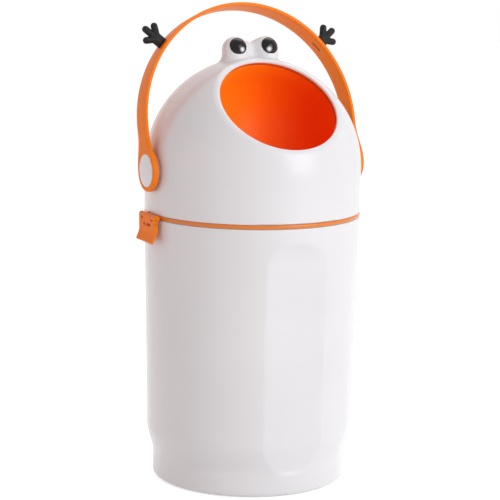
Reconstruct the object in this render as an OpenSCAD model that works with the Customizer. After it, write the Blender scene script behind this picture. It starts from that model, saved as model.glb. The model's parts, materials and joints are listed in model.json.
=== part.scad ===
/* [Bucket] */
// Outside diameter where the bucket meets the lid
body_d = 240; // [210:1:270]
// Height of the bucket's rim above the floor
rim_h = 297.7; // [250:0.1:340]
// How much narrower the bucket is above its shoulder than at its rim
draft_d = 9.2; // [4:0.1:12]
// How much narrower the foot is than the bucket above the shoulder
foot_step_d = 13.8; // [8:0.1:20]
// Height of the foot
foot_h = 25; // [15:1:32]
// Height of the rounded shoulder above the foot
shoulder_h = 35; // [25:1:60]
// Size of the foot's rounded bottom edge
foot_edge = 5; // [3:0.5:7]
// Thickness of the bucket's wall and floor
bucket_wall = 2.8; // [2.4:0.1:3.4]

/* [Front panel] */
// Width of the flat front panel
panel_w = 71; // [50:1:84]
// How far below the rim the panel's straight sides end
panel_drop = 36; // [32:1:80]
// Height of the slope that fades the panel out at its top
panel_fade = 20; // [12:1:22]

/* [Non-slip pads] */
// Diameter of a pad
pad_d = 18; // [12:1:24]
// Thickness of a pad
pad_t = 2.2; // [1.6:0.1:2.6]
// How far a pad stands out below the bucket
pad_stand = 0.8; // [0.5:0.1:1.2]
// Distance from the foot's side to a pad's edge
pad_inset = 11.5; // [8:0.5:30]

/* [Bag ring] */
// How far the bag ring's flange lies below the rim
bag_ring_drop = 13.7; // [12:0.1:16]
// Width of the bag ring
bag_ring_w = 10; // [8:0.5:11]
// Thickness of the bag ring's flange
flange_t = 2.5; // [2:0.1:3]
// Height of the collar that the bag is folded over
collar_h = 13; // [10:0.5:14]
// How far the ledges under the ring reach in from the wall
ledge_reach = 5; // [3:0.5:6]

/* [Lid ring] */
// Height of the ring that shows between bucket and dome
lid_ring_h = 5; // [5:0.5:7]
// Width of the lid ring
lid_ring_w = 14; // [13:0.5:15]
// Depth of the skirt that centres the lid in the bucket
skirt_h = 5; // [3:0.5:6]
// Thickness of that skirt
skirt_t = 1.6; // [1.2:0.1:2]
// Diameter of the screws that hold the ring to the dome
ring_screw_d = 3; // [2.5:0.5:3]
// Number of those screws
ring_screw_n = 6; // [4:1:8]

/* [Dome] */
// Height of the handle's pivot axis above the lid ring
pivot_rise = 47.5; // [44:0.5:70]
// Thickness of the dome's wall
dome_wall = 3; // [2.6:0.1:3.2]
// Diameter of the mouth at its inner edge
mouth_d = 131.8; // [110:0.1:134]
// Degrees above level in which the mouth looks
mouth_tilt = 49.7; // [48:0.1:56]
// Width of the soft rim around the mouth
rim_w = 7.6; // [5:0.1:8]
// How far the rim is flattened at the mouth's edge
rim_drop = 3.2; // [2:0.1:3.4]
// Thickness of the mouth seal
seal_t = 2; // [1.6:0.1:2.4]
// Width of the mouth seal
seal_w = 5.2; // [4:0.1:6]

/* [Eyes] */
// Distance between the centres of the two eye bumps
eye_spacing = 37; // [34:0.5:46]
// How far the eye bumps' centres stand behind the mouth's upper edge
eye_back = 24; // [23.5:0.1:32]
// How far the centre of a bump's ball stands above the dome's top
eye_rise = 7.6; // [4:0.1:12]
// Diameter of an eye bump
bump_d = 29; // [26:0.5:32]
// Diameter of a black eye
eye_d = 19.6; // [14:0.1:21]
// How far a black eye stands out of its seat
eye_bulge = 5; // [3:0.5:6]
// Degrees that the eyes look up
eye_tilt = 26; // [5:1:35]
// Degrees that each eye looks outwards
eye_splay = 4; // [0:1:12]
// Diameter of the saddle that joins the two eye bumps
saddle_d = 17.6; // [12:0.1:20]

/* [Drum] */
// Gap between the drum and the inside of the dome
drum_gap = 4.4; // [4.2:0.1:5]
// Wall thickness of the drum's shell and bowl
drum_wall = 2.4; // [2:0.1:3]
// Depth of the bowl below its lip
bowl_depth = 84; // [76:1:86]
// Width of the bowl's lip on the drum's surface
bowl_lip = 6; // [5:0.5:8]

/* [Handle] */
// How far the handle's widest place stands out from the body
handle_out = 8.5; // [8.5:0.1:20]
// Height of the handle's top above the pivot axis
handle_rise = 181.6; // [172:0.1:210]
// Height above the pivot axis at which the handle's curve starts
handle_spring = 47.6; // [40:0.1:70]
// Thickness of the handle's band
band_t = 3.7; // [3:0.1:4.5]
// Width of the band at its sides
band_w = 25.3; // [20:0.1:28]
// Width of the band at its top
grip_w = 28.5; // [20:0.1:34]
// Diameter of the round paddle at each end of the handle
paddle_d = 46; // [42:1:52]
// Degrees that the handle leans back at rest
handle_lean = 15.7; // [8:0.1:20]
// Diameter of the cap in each paddle
cap_d = 36; // [30:1:38]
// Depth of the cap's seat
cap_seat = 3; // [2.8:0.1:3.2]
// How far the cap's crown stands out of the paddle
cap_crown = 1; // [0.6:0.1:2]

/* [Pivots] */
// Diameter of the shaft that carries the handle and the drum
shaft_d = 12.9; // [12.9:0.1:15]
// Wall thickness of the bush around the shaft
bush_wall = 2.5; // [1.5:0.1:3]
// Thickness of the bush's flange
bush_flange = 0.7; // [0.5:0.1:0.8]
// Side of the shaft's square end
drive_sq = 9; // [7:0.5:9]
// Diameter of the pivot screw
pivot_screw_d = 4; // [3:0.5:5]

/* [Hands] */
// Radius of a finger
finger_r = 3.9; // [3:0.1:4.5]
// Height of the middle fingertip's centre above the handle
mid_finger = 24.5; // [20:0.5:32]
// Height of the upper fingertip's centre above the handle
upper_finger = 19; // [16:0.5:26]
// Height of the lower fingertip's centre above the handle
lower_finger = 16.5; // [14:0.1:22]
// Distance of the side fingertips from the middle one, along the handle
finger_spread = 9.5; // [8:0.5:15]
// Degrees from the top of the handle's curve to the left hand
left_hand_at = 47; // [38:0.5:52]
// Degrees from the top of the handle's curve to the right hand
right_hand_at = 49.5; // [38:0.5:52]
// Width of the tab that holds a hand in its slot
tab_w = 13.6; // [8:0.1:16]
// Thickness of that tab
tab_t = 2; // [1.5:0.1:3]

/* [Latch and hinge] */
// Width of the latch
latch_w = 44; // [34:1:50]
// Height of the latch below its pin
latch_drop = 27; // [26:0.5:33]
// Thickness of the latch's plate
latch_t = 2.6; // [2:0.1:2.8]
// How far the latch's lower edge flares out
latch_flare = 3.9; // [3:0.1:7]
// Depth of the latch's side cheeks behind its plate
cheek_d = 1.6; // [1:0.1:2]
// Width of the latch's window
window_w = 19; // [12:1:26]
// Height of the latch's window
window_h = 5.5; // [5:0.5:8]
// Distance from the body's side to the pins of the latch and hinge
pin_out = 3.8; // [3.7:0.1:5]
// Diameter of those pins
pin_d = 2.4; // [2:0.1:3]
// Diameter of the knuckles around the pins
knuckle_d = 6.4; // [5.6:0.1:6.6]
// Width of the hinge
hinge_w = 36; // [30:1:44]
// Height of the hinge bracket on the bucket
bracket_h = 21; // [20:0.5:26]
// Thickness of the hinge bracket
bracket_t = 2.6; // [2.2:0.1:3]
// Diameter of the bracket's screws
bracket_screw_d = 3; // [2.5:0.5:3]

/* [Clearances] */
// Gap between pieces that move past each other
gap = 0.3; // [0.2:0.05:0.4]
// Gap on the radius of a running shaft or pin
run_fit = 0.05; // [0.02:0.01:0.1]
// Gap around a piece that is glued, pressed or screwed into its seat
seat_fit = 0.05; // [0.02:0.01:0.1]

/* [Hidden] */
$fn = 96;
e = 0.01;                            // overlap that keeps joined shapes one solid

white = "#f2f0f0";
orange = "#ff7a22";
black = "#232424";
steel = "#b8bcc2";
grey = "#c9c7c7";

/* Helpers */
function smooth(t) = t * t * (3 - 2 * t);
// Builds a right-hand piece on the right, or its mirror image on the left
module on_side(side) mirror([side < 0 ? 1 : 0, 0, 0]) children();
module rod_x(r, x, len) translate([x, 0, 0]) rotate([0, 90, 0]) cylinder(r = r, h = len);
module rod_y(r, len) translate([0, -len / 2, 0]) rotate([-90, 0, 0]) cylinder(r = r, h = len);
module tube(r_out, r_in, h) difference() {
    cylinder(r = r_out, h = h);
    translate([0, 0, -1]) cylinder(r = r_in, h = h + 2);
}
module screw(shank_r, shank_len, head_r, head_h) {
    translate([0, 0, -head_h]) cylinder(r = head_r, h = head_h);
    translate([0, 0, -e]) cylinder(r = shank_r, h = shank_len + e);
}

/* Bucket: a bucket with a narrower foot, a rounded shoulder and a flat front panel */
body_r = body_d / 2;
waist_r = body_r - draft_d / 2;
foot_r = waist_r - foot_step_d / 2;
waist_z = foot_h + shoulder_h;
draft = (body_r - waist_r) / (rim_h - waist_z);
shoulder_steps = 10;

function bucket_r(z) = z >= waist_z ? waist_r + draft * (z - waist_z)
    : foot_r + (waist_r - foot_r) * smooth(max(z - foot_h, 0) / shoulder_h);

// Half of the bucket's section, moved in by inset, with its underside at low
module bucket_section(inset, low)
    polygon(concat(
        [[0, low]],
        [for (a = [0 : 15 : 90]) [foot_r - inset - foot_edge * (1 - sin(a)),
                                  low + foot_edge * (1 - cos(a))]],
        [for (i = [0 : shoulder_steps]) let (z = foot_h + shoulder_h * i / shoulder_steps)
            [bucket_r(z) - inset, z]],
        [[body_r - inset, rim_h + abs(inset)], [0, rim_h + abs(inset)]]));
module bucket_body(inset, low) rotate_extrude() bucket_section(inset, low);

panel_depth = body_r - sqrt(body_r * body_r - panel_w * panel_w / 4);
panel_z = rim_h - panel_drop;
function panel_y(z) = -(waist_r + draft * (z - waist_z) - panel_depth);

// A slab in front of or behind the panel's plane, from y_out to y_in of it
module panel_slab(y_out, y_in, w, top)
    translate([-w / 2, 0, 0]) rotate([90, 0, 90]) linear_extrude(w)
    polygon([[panel_y(0) + y_out, pad_stand], [panel_y(0) + y_in, pad_stand],
             [panel_y(top) + y_in, top], [panel_y(top) + y_out, top]]);
module panel_cut() {
    panel_slab(-foot_step_d * 2, 0, panel_w, panel_z + e);
    translate([-panel_w / 2, 0, 0]) rotate([90, 0, 90]) linear_extrude(panel_w)
    polygon([[panel_y(panel_z), panel_z], [-body_r - 1, panel_z + panel_fade],
             [-body_r - foot_step_d, panel_z + panel_fade], [-body_r - foot_step_d, panel_z]]);
}
// The wall steps in behind the panel, so that it keeps its thickness
module panel_wall() intersection() {
    bucket_body(e, pad_stand);
    panel_slab(-panel_depth, bucket_wall, panel_w, panel_z + panel_fade * 0.7);
}

pad_ring_r = foot_r - pad_inset - pad_d / 2;
module at_pads() for (a = [45 : 90 : 315]) rotate(a) translate([pad_ring_r, 0, 0]) children();

bag_ring_z = rim_h - bag_ring_drop;
bag_ring_r = bucket_r(bag_ring_z) - bucket_wall - gap;
ledge_n = 6;
ledge_t = 4;
ledge_w = 16;
module bag_ledges()
    for (i = [0 : ledge_n - 1]) rotate((i + 0.5) * 360 / ledge_n)
    translate([bag_ring_r + gap - ledge_reach, -ledge_w / 2, bag_ring_z - ledge_t])
    cube([ledge_reach + bucket_wall / 2, ledge_w, ledge_t]);

// A low nose on the left side that shows in the latch's window
ring_z = rim_h + gap;
pin_x = body_r + pin_out;
pin_z = ring_z + lid_ring_h / 2;
latch_in_x = pin_x + knuckle_d / 2 - latch_t;
window_edge = 1.5;                   // between the latch's knuckle and its window
window_z = pin_z - window_h - knuckle_d / 2 - window_edge;
nose_margin = 1.5;
nose_back = 2;                       // from the nose's face to the latch
module latch_nose() on_side(-1)
    translate([body_r - bucket_wall, -window_w / 2 + nose_margin, window_z + nose_margin])
    cube([latch_in_x - nose_back - body_r + bucket_wall, window_w - 2 * nose_margin,
          window_h - 2 * nose_margin]);

bracket_screw_z = rim_h - bracket_h + bracket_screw_d * 1.2;
bracket_screw_y = hinge_w / 2 - bracket_screw_d * 2;
bracket_head_r = bracket_screw_d * 0.9;
bracket_head_h = 1.6;
bracket_cover = 1.2;                 // of the bracket outside the screws' blind ends
bracket_root = 6;                    // how deep the bracket's blank starts inside the body's side
bracket_seat_x = sqrt(pow(bucket_r(bracket_screw_z - bracket_head_r) - bucket_wall, 2)
                      - pow(bracket_screw_y + bracket_head_r, 2)) - seat_fit;
module at_bracket_screws(x) for (y = [-1, 1] * bracket_screw_y)
    translate([x, y, bracket_screw_z]) rotate([0, 90, 0]) children();

module bucket() color(white) difference() {
    union() {
        difference() {
            bucket_body(0, pad_stand);
            bucket_body(bucket_wall, pad_stand + bucket_wall);
        }
        panel_wall();
        bag_ledges();
        latch_nose();
    }
    panel_cut();
    at_pads() translate([0, 0, -e]) cylinder(r = pad_d / 2 + seat_fit, h = pad_t + e);
    at_bracket_screws(body_r - bracket_root)
        cylinder(r = bracket_screw_d / 2 + seat_fit, h = bracket_root * 2);
}

module foot_pads() color(grey) at_pads() cylinder(d = pad_d, h = pad_t - seat_fit);

/* Bag ring: a drop-in ring over whose collar the bag is folded */
module bag_ring() color(orange) difference() {
    union() {
        translate([0, 0, bag_ring_z]) cylinder(r = bag_ring_r, h = flange_t);
        translate([0, 0, bag_ring_z + flange_t * 2 - collar_h])
        cylinder(r = bag_ring_r - bag_ring_w + 2, h = collar_h);
    }
    translate([0, 0, bag_ring_z - collar_h])
    cylinder(r = bag_ring_r - bag_ring_w, h = collar_h * 2);
}

/* Hinge: a bracket screwed to the bucket, a pin, and a knuckle on the lid ring */
knuckle_r = knuckle_d / 2;
mid_knuckle_w = hinge_w / 3;
module at_pin(side) on_side(side) translate([pin_x, 0, pin_z]) children();

module hinge_bracket() color(white) difference() {
    union() {
        intersection() {
            translate([body_r - bracket_root, -hinge_w / 2, rim_h - bracket_h])
            cube([bracket_root + bracket_t, hinge_w, bracket_h]);
            translate([0, 0, rim_h - bracket_h - 1])
            cylinder(r = body_r + bracket_t, h = bracket_h + 2);
        }
        translate([body_r + gap * 2, -hinge_w / 2, rim_h - bracket_h / 2])
        cube([pin_out - gap * 2, hinge_w, pin_z - rim_h + bracket_h / 2]);
        at_pin(1) rod_y(knuckle_r, hinge_w);
    }
    bucket_body(-seat_fit, pad_stand);
    translate([body_r - bracket_root, -mid_knuckle_w / 2 - gap, rim_h - knuckle_r])
    cube([bracket_root + pin_out + knuckle_d, mid_knuckle_w + 2 * gap, bracket_h]);
    at_pin(1) rod_y(pin_d / 2 + run_fit, hinge_w + 2);
    at_bracket_screws(body_r - bracket_root)
        cylinder(r = bracket_screw_d / 2 + seat_fit, h = bracket_root + bracket_t - bracket_cover);
}

module bracket_screws() color(steel) at_bracket_screws(bracket_seat_x)
    screw(bracket_screw_d / 2, body_r + bracket_t - bracket_cover * 1.5 - bracket_seat_x,
          bracket_head_r, bracket_head_h);

module hinge_pin() color(steel) at_pin(1) rod_y(pin_d / 2, hinge_w);

/* Lid ring: joins the dome, the hinge and the latch, and centres the lid in the bucket */
dome_z = ring_z + lid_ring_h;
bore_r = body_r - bucket_wall;
boss_h = 8;                          // of the dome's screw bosses
boss_r = 3.2;
ring_screw_r = bore_r - 2 * boss_r + 0.2;
ring_head_h = 2;
ring_head_r = ring_screw_d * 0.95;
groove_w = 2;
groove_h = 1.3;
groove_r = bore_r + gap;
lug_w = 4;                           // of the two ears that hold the latch's pin
end_knuckle_w = 6;                   // of the latch, outside the ears
ear_y = latch_w / 2 - end_knuckle_w - gap - lug_w / 2;
root = 4;                            // how far the ears and the knuckle reach into the ring
module at_ring_screws() for (i = [0 : ring_screw_n - 1])
    rotate((i + 0.5) * 360 / ring_screw_n) translate([ring_screw_r, 0, 0]) children();

module lid_ring() color(orange) difference() {
    union() {
        translate([0, 0, ring_z]) cylinder(r = body_r, h = lid_ring_h);
        translate([0, 0, ring_z - skirt_h]) cylinder(r = bore_r - 2 * gap, h = skirt_h + e);
        at_pin(1) rod_y(knuckle_r, mid_knuckle_w);
        translate([body_r - root, -mid_knuckle_w / 2, ring_z + 1])
        cube([root + pin_out, mid_knuckle_w, lid_ring_h - 1]);
        for (s = [-1, 1]) translate([0, s * ear_y, 0]) {
            at_pin(-1) rod_y(knuckle_r, lug_w);
            on_side(-1) translate([body_r - root * 2, -lug_w / 2, ring_z])
            cube([root * 2 + pin_out, lug_w, lid_ring_h]);
        }
    }
    translate([0, 0, ring_z - skirt_h - 1]) {
        cylinder(r = body_r - lid_ring_w, h = lid_ring_h + skirt_h + 2);
        cylinder(r = bore_r - 2 * gap - skirt_t, h = skirt_h + 1);
    }
    translate([0, 0, ring_z - 1]) tube(groove_r + groove_w, groove_r, groove_h + 1);
    at_pin(1) rod_y(pin_d / 2 + run_fit, hinge_w);
    at_pin(-1) rod_y(pin_d / 2 + run_fit, latch_w + 2);
    at_ring_screws() {
        translate([0, 0, ring_z - 1]) cylinder(r = ring_head_r + seat_fit, h = ring_head_h + 1);
        translate([0, 0, ring_z]) cylinder(r = ring_screw_d / 2 + seat_fit, h = lid_ring_h + 1);
    }
}

module lid_gasket() color(grey) translate([0, 0, rim_h + gap / 3])
    tube(groove_r + groove_w - seat_fit, groove_r + seat_fit, groove_h + gap * 2 / 3 - seat_fit);

module ring_screws() color(steel) at_ring_screws() translate([0, 0, ring_z + ring_head_h])
    screw(ring_screw_d / 2, lid_ring_h + boss_h - ring_head_h * 2, ring_head_r, ring_head_h);

/* Dome: a round cover with a big mouth, two eye bumps and a bearing at each side */
pivot_z = dome_z + pivot_rise;
dome_in_r = body_r - dome_wall;
drum_r = dome_in_r - drum_gap;
collar_r = drum_r + gap + seal_t;        // inside of the thick rim that carries the mouth seal
mouth_r = mouth_d / 2;
rim_z = sqrt(body_r * body_r - mouth_r * mouth_r) - rim_drop;
seal_r = mouth_r + 1.2;              // the seal keeps back from the mouth's edge
pad_r = shaft_d / 2 + bush_wall + 7; // flat boss around each bearing
pad_in_x = drum_r + gap + 0.5;
pad_out_x = body_r + 1.2;
web_t = 3;                           // of the ring screws' webs
paddle_in_x = pad_out_x + bush_flange + gap;
bush_r = shaft_d / 2 + run_fit + bush_wall;
eye_r = eye_d / 2;
bump_r = bump_d / 2;
eye_seat = 2;
eye_plane = sqrt(bump_r * bump_r - eye_r * eye_r);

// A frame at the pivot axis whose +Z looks out of the mouth
module facing_mouth() translate([0, 0, pivot_z]) rotate([90 - mouth_tilt, 0, 0]) children();
mouth_top_y = mouth_r * sin(mouth_tilt) - rim_z * cos(mouth_tilt);
module at_bump(side)
    translate([side * eye_spacing / 2, mouth_top_y + eye_back, pivot_z + body_r + eye_rise]) children();
module at_eye(side) at_bump(side) rotate([0, 0, side * eye_splay]) rotate([90 - eye_tilt, 0, 0])
    children();
module upright(r, low) {
    translate([0, 0, low]) cylinder(r = r, h = pivot_z - low);
    intersection() {
        translate([0, 0, pivot_z]) sphere(r);
        translate([0, 0, pivot_z - e]) cylinder(r = r + 1, h = r + 2);
    }
}

bump_foot = 24;                      // height of a bump's body below its ball
bump_flare = 4.5;                    // how far a bump's root spreads into the dome
flare_h = 12;
flare_top = 4;
module eye_bumps() for (s = [-1, 1]) at_bump(s) {
    sphere(bump_r);
    translate([0, 0, -bump_foot]) cylinder(r = bump_r, h = bump_foot);
    translate([0, 0, -flare_top - flare_h]) cylinder(r1 = bump_r + bump_flare, r2 = bump_r, h = flare_h);
}
module eye_saddle() at_bump(-1) rod_x(saddle_d / 2, 0, eye_spacing);

module dome() color(white) difference() {
    union() {
        difference() {
            union() {
                upright(body_r, dome_z);
                eye_bumps();
                eye_saddle();
            }
            upright(dome_in_r, dome_z - 1);
        }
        // Thick rim around the mouth
        intersection() {
            facing_mouth() cylinder(r = seal_r + seal_w, h = body_r);
            translate([0, 0, pivot_z]) difference() {
                sphere(dome_in_r + 1);
                sphere(collar_r);
            }
        }
        // Flat bosses for the two bearings
        translate([0, 0, pivot_z]) for (s = [-1, 1]) on_side(s)
            rod_x(pad_r, pad_in_x, pad_out_x - pad_in_x);
        // Bosses for the ring's screws, each with a web to the wall
        translate([0, 0, dome_z]) at_ring_screws() {
            cylinder(r = boss_r, h = boss_h);
            translate([0, -web_t / 2, web_t]) cube([dome_in_r + 1 - ring_screw_r, web_t, boss_h - web_t]);
        }
    }
    facing_mouth() {
        cylinder(r = mouth_r, h = body_r + 1);
        // The rim is flattened towards the mouth
        translate([0, 0, rim_z]) cylinder(r1 = mouth_r, r2 = mouth_r + rim_w * 6, h = rim_w * 1.5);
    }
    translate([0, 0, pivot_z]) for (s = [-1, 1]) on_side(s)
        rod_x(bush_r + seat_fit, pad_in_x - 1, pad_r);
    for (s = [-1, 1]) {
        at_eye(s) translate([0, 0, eye_plane - eye_seat]) cylinder(r = eye_r + seat_fit, h = bump_r);
        at_bump(s) translate([0, 0, -bump_foot * 1.5])
            cylinder(r = bump_r / 2, h = bump_foot * 1.5);
    }
    translate([0, 0, dome_z - 1]) at_ring_screws()
        cylinder(r = ring_screw_d / 2 + seat_fit, h = boss_h - 1);
}

module mouth_seal() color(orange) difference() {
    intersection() {
        facing_mouth() tube(seal_r + seal_w, seal_r, body_r);
        translate([0, 0, pivot_z]) sphere(collar_r - seat_fit);
    }
    translate([0, 0, pivot_z]) sphere(drum_r + gap);
}

module eye(side) color(black) at_eye(side) {
    cap_r = (eye_r * eye_r + eye_bulge * eye_bulge) / (2 * eye_bulge);
    translate([0, 0, eye_plane - eye_seat + seat_fit]) cylinder(r = eye_r, h = eye_seat);
    translate([0, 0, eye_plane]) intersection() {
        translate([0, 0, eye_bulge - cap_r]) sphere(cap_r);
        cylinder(r = eye_r + 1, h = eye_bulge + 1);
    }
}
module eye_left() eye(-1);
module eye_right() eye(1);

module bush(side) color(grey) on_side(side) translate([0, 0, pivot_z]) difference() {
    union() {
        rod_x(bush_r, pad_in_x, pad_out_x - pad_in_x);
        rod_x((bush_r + pad_r) / 2, pad_out_x, bush_flange);
    }
    rod_x(shaft_d / 2 + run_fit, pad_in_x - 1, pad_r);
}
module bush_left() bush(-1);
module bush_right() bush(1);

/* Drum: a ball with a bowl in it, turned by the handle. The bowl empties downwards and the
   ball's closed back then shuts the mouth. */
boss_x = drum_r - 12;                // inner end of the bosses that hold the hubs
hub_sq = 20;
hub_t = 3;
hub_boss_r = 16;
hub_play = 0.2;                      // between a hub and the handle, end to end
bowl_r = mouth_r + 0.1;
shell_hole_r = bowl_r + bowl_lip;
bowl_z = sqrt(drum_r * drum_r - bowl_r * bowl_r) - bowl_depth + bowl_r;

module drum_shell() color(orange) translate([0, 0, pivot_z]) difference() {
    union() {
        difference() {
            sphere(drum_r);
            sphere(drum_r - drum_wall);
        }
        for (s = [-1, 1]) on_side(s) rod_x(hub_boss_r, boss_x, drum_r - drum_wall * 0.8 - boss_x);
    }
    rotate([90 - mouth_tilt, 0, 0]) cylinder(r = shell_hole_r, h = body_r);
    for (s = [-1, 1]) on_side(s) {
        rod_x(shaft_d / 2 + seat_fit, boss_x - 1, drum_r);
        translate([boss_x - 1, -hub_sq / 2 - seat_fit, -hub_sq / 2 - seat_fit])
        cube([hub_t + 1, hub_sq + 2 * seat_fit, hub_sq + 2 * seat_fit]);
    }
}

module bowl_solid(r) {
    translate([0, 0, bowl_z]) sphere(r);
    translate([0, 0, bowl_z]) cylinder(r = r, h = body_r);
}
module drum_bowl() color(orange) facing_mouth() difference() {
    union() {
        intersection() {
            bowl_solid(bowl_r + drum_wall);
            sphere(drum_r);
        }
        intersection() {
            cylinder(r = shell_hole_r - seat_fit, h = body_r);
            difference() {
                sphere(drum_r);
                sphere(drum_r - drum_wall);
            }
        }
    }
    bowl_solid(bowl_r);
}

/* Pivots: a hub on each side, driven by the handle and held by a screw under a cap */
paddle_out_x = body_r + handle_out;
seat_x = paddle_out_x - cap_seat;
module hub(side) color(grey) on_side(side) translate([0, 0, pivot_z]) difference() {
    union() {
        translate([boss_x, -hub_sq / 2, -hub_sq / 2]) cube([hub_t, hub_sq, hub_sq]);
        rod_x(shaft_d / 2, boss_x + hub_t - e, paddle_in_x - hub_play - boss_x - hub_t);
        rotate([-handle_lean, 0, 0])
        translate([paddle_in_x - 1, -drive_sq / 2, -drive_sq / 2])
        cube([seat_x - hub_play - paddle_in_x + 1, drive_sq, drive_sq]);
    }
    rod_x(pivot_screw_d / 2 + seat_fit, boss_x + hub_t, drum_r);
}
module hub_left() hub(-1);
module hub_right() hub(1);

pivot_head_h = 1.5;
module pivot_screws() color(steel) for (s = [-1, 1]) on_side(s)
    translate([seat_x, 0, pivot_z]) rotate([0, -90, 0])
    screw(pivot_screw_d / 2, cap_seat * 3, drive_sq * 0.8, pivot_head_h);

/* Handle: a flat band bent into an arch, with a round paddle at each end */
arch_a = paddle_out_x;
arch_b = handle_rise - handle_spring;
neck_h = 40;
module leaning() translate([0, 0, pivot_z]) rotate([-handle_lean, 0, 0]) children();
function arch(inset) = concat(
    [[arch_a - inset, 0]],
    [for (a = [0 : 4 : 180]) [(arch_a - inset) * cos(a), handle_spring + (arch_b - inset) * sin(a)]],
    [[inset - arch_a, 0]]);
function reversed(list) = [for (i = [len(list) - 1 : -1 : 0]) list[i]];
// Half of the band's width at height u above the pivot axis
function band_half(u) = u < neck_h
    ? band_w / 2 + (paddle_d - band_w) / 2 * (1 - smooth(u / neck_h))
    : band_w / 2 + (grip_w - band_w) / 2 * (u - neck_h) / (handle_rise - neck_h);
band_us = concat([for (i = [0 : 8]) neck_h * i / 8], [handle_rise + 1]);

module handle_band() intersection() {
    translate([0, paddle_d / 2, 0]) rotate([90, 0, 0]) linear_extrude(paddle_d)
    polygon(concat(arch(0), reversed(arch(band_t))));
    translate([-arch_a - 1, 0, 0]) rotate([90, 0, 90]) linear_extrude(2 * arch_a + 2)
    polygon(concat([for (u = band_us) [band_half(u), u]],
                   [for (u = reversed(band_us)) [-band_half(u), u]]));
}

function hand_a(side) = 90 - (side < 0 ? left_hand_at : right_hand_at);
function hand_lean(a) = atan2(cos(a) / arch_a, sin(a) / arch_b);
// A frame on the handle's outer face at a hand, with its +Z away from the handle
module at_hand(side) leaning() on_side(side)
    translate([arch_a * cos(hand_a(side)), 0, handle_spring + arch_b * sin(hand_a(side))])
    rotate([0, hand_lean(hand_a(side)), 0]) children();

module handle() color(orange) difference() {
    leaning() difference() {
        union() {
            handle_band();
            for (s = [-1, 1]) on_side(s) rod_x(paddle_d / 2, paddle_in_x, paddle_out_x - paddle_in_x);
        }
        for (s = [-1, 1]) on_side(s) {
            rod_x(cap_d / 2 + seat_fit, seat_x, cap_seat + 1);
            translate([paddle_in_x - 1, -drive_sq / 2 - seat_fit, -drive_sq / 2 - seat_fit])
            cube([cap_seat * 3, drive_sq + 2 * seat_fit, drive_sq + 2 * seat_fit]);
        }
    }
    for (s = [-1, 1]) at_hand(s)
        translate([-tab_w / 2 - seat_fit, -tab_t / 2 - seat_fit, -band_t * 2])
        cube([tab_w + 2 * seat_fit, tab_t + 2 * seat_fit, band_t * 4]);
}

cap_rim = 1.6;                       // thickness of the cap's rim
cap_hollow = cap_seat - 1.2;
cap_r = cap_d / 2;
crown_steps = 8;
module cap(side) color(white) on_side(side) translate([seat_x, 0, pivot_z]) rotate([0, 90, 0])
    rotate_extrude() polygon(concat(
        [[0, cap_hollow], [cap_r - cap_rim, cap_hollow], [cap_r - cap_rim, seat_fit], [cap_r, seat_fit]],
        [for (i = [crown_steps : -1 : 0]) let (t = i / crown_steps)
            [cap_r * t, cap_seat + cap_crown * (1 - t * t)]]));
module cap_left() cap(-1);
module cap_right() cap(1);

/* Hands: a three-fingered hand on a tab, at each side of the handle */
palm_z = 10;
palm_r = finger_r + 0.5;
palm_half = 2.2;                     // from the hand's middle to the palm's two ends
tab_end = 0.4;                       // how far a tab shows inside the handle
module finger(root_x, x, z) hull() {
    translate([x, 0, z]) sphere(finger_r, $fn = 24);
    translate([root_x, 0, palm_z]) sphere(finger_r, $fn = 24);
}
module hand(side) color(black) at_hand(side) {
    finger(-palm_half, -finger_spread, upper_finger);
    finger(0, 0, mid_finger);
    finger(palm_half, finger_spread, lower_finger);
    hull() {
        translate([-tab_w / 2, -finger_r, seat_fit]) cube([tab_w, 2 * finger_r, 1]);
        for (x = [-1, 1] * palm_half) translate([x, 0, palm_z]) sphere(palm_r, $fn = 24);
    }
    translate([-tab_w / 2, -tab_t / 2, -band_t - tab_end]) cube([tab_w, tab_t, band_t + tab_end + 1]);
}
module hand_left() hand(-1);
module hand_right() hand(1);

/* Latch: a flap on a pin in the lid ring, with a window for the bucket's nose */
bend_drop = 17.5;                    // from the pin down to where the latch flares out
cheek_t = 2;
module latch() color(orange) at_pin(-1) difference() {
    union() {
        rod_y(knuckle_r, latch_w);
        translate([0, latch_w / 2, 0]) rotate([90, 0, 0]) linear_extrude(latch_w)
        polygon([[knuckle_r - latch_t, 0], [knuckle_r, 0], [knuckle_r, -bend_drop],
                 [knuckle_r + latch_flare, -latch_drop],
                 [knuckle_r + latch_flare - latch_t, -latch_drop],
                 [knuckle_r - latch_t, -bend_drop - 1]]);
        for (s = [-1, 1])
            translate([knuckle_r - latch_t - cheek_d, s * (latch_w - cheek_t) / 2 - cheek_t / 2,
                       -bend_drop])
            cube([cheek_d + e, cheek_t, bend_drop - knuckle_r - gap]);
    }
    // Room for the ring's ears
    for (s = [-1, 1])
        translate([-knuckle_d, s * ear_y - lug_w / 2 - gap, -knuckle_r - gap])
        cube([knuckle_d * 2, lug_w + 2 * gap, knuckle_d + 2 * gap]);
    rod_y(pin_d / 2 + run_fit, latch_w + 2);
    translate([-pin_out, -window_w / 2, window_z - pin_z]) cube([pin_out * 3, window_w, window_h]);
}
module latch_pin() color(orange) at_pin(-1) rod_y(pin_d / 2, latch_w);

bucket();
foot_pads();
bag_ring();
hinge_bracket();
bracket_screws();
hinge_pin();
lid_ring();
lid_gasket();
ring_screws();
dome();
mouth_seal();
eye_left();
eye_right();
bush_left();
bush_right();
drum_shell();
drum_bowl();
hub_left();
hub_right();
handle();
pivot_screws();
cap_left();
cap_right();
hand_left();
hand_right();
latch();
latch_pin();
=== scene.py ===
# %% [markdown]
# A nappy bin of moulded plastic: a tall round bucket, a hinged domed lid with a big mouth, and an arched
# handle that turns a ball with a bowl in it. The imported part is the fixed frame: it gives every size
# and place. The visible shells are built anew around it as smooth surfaces, because a real moulding has
# soft edges everywhere, and each edge catches a thin line of light.

# %% Load the frame
import json

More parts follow.
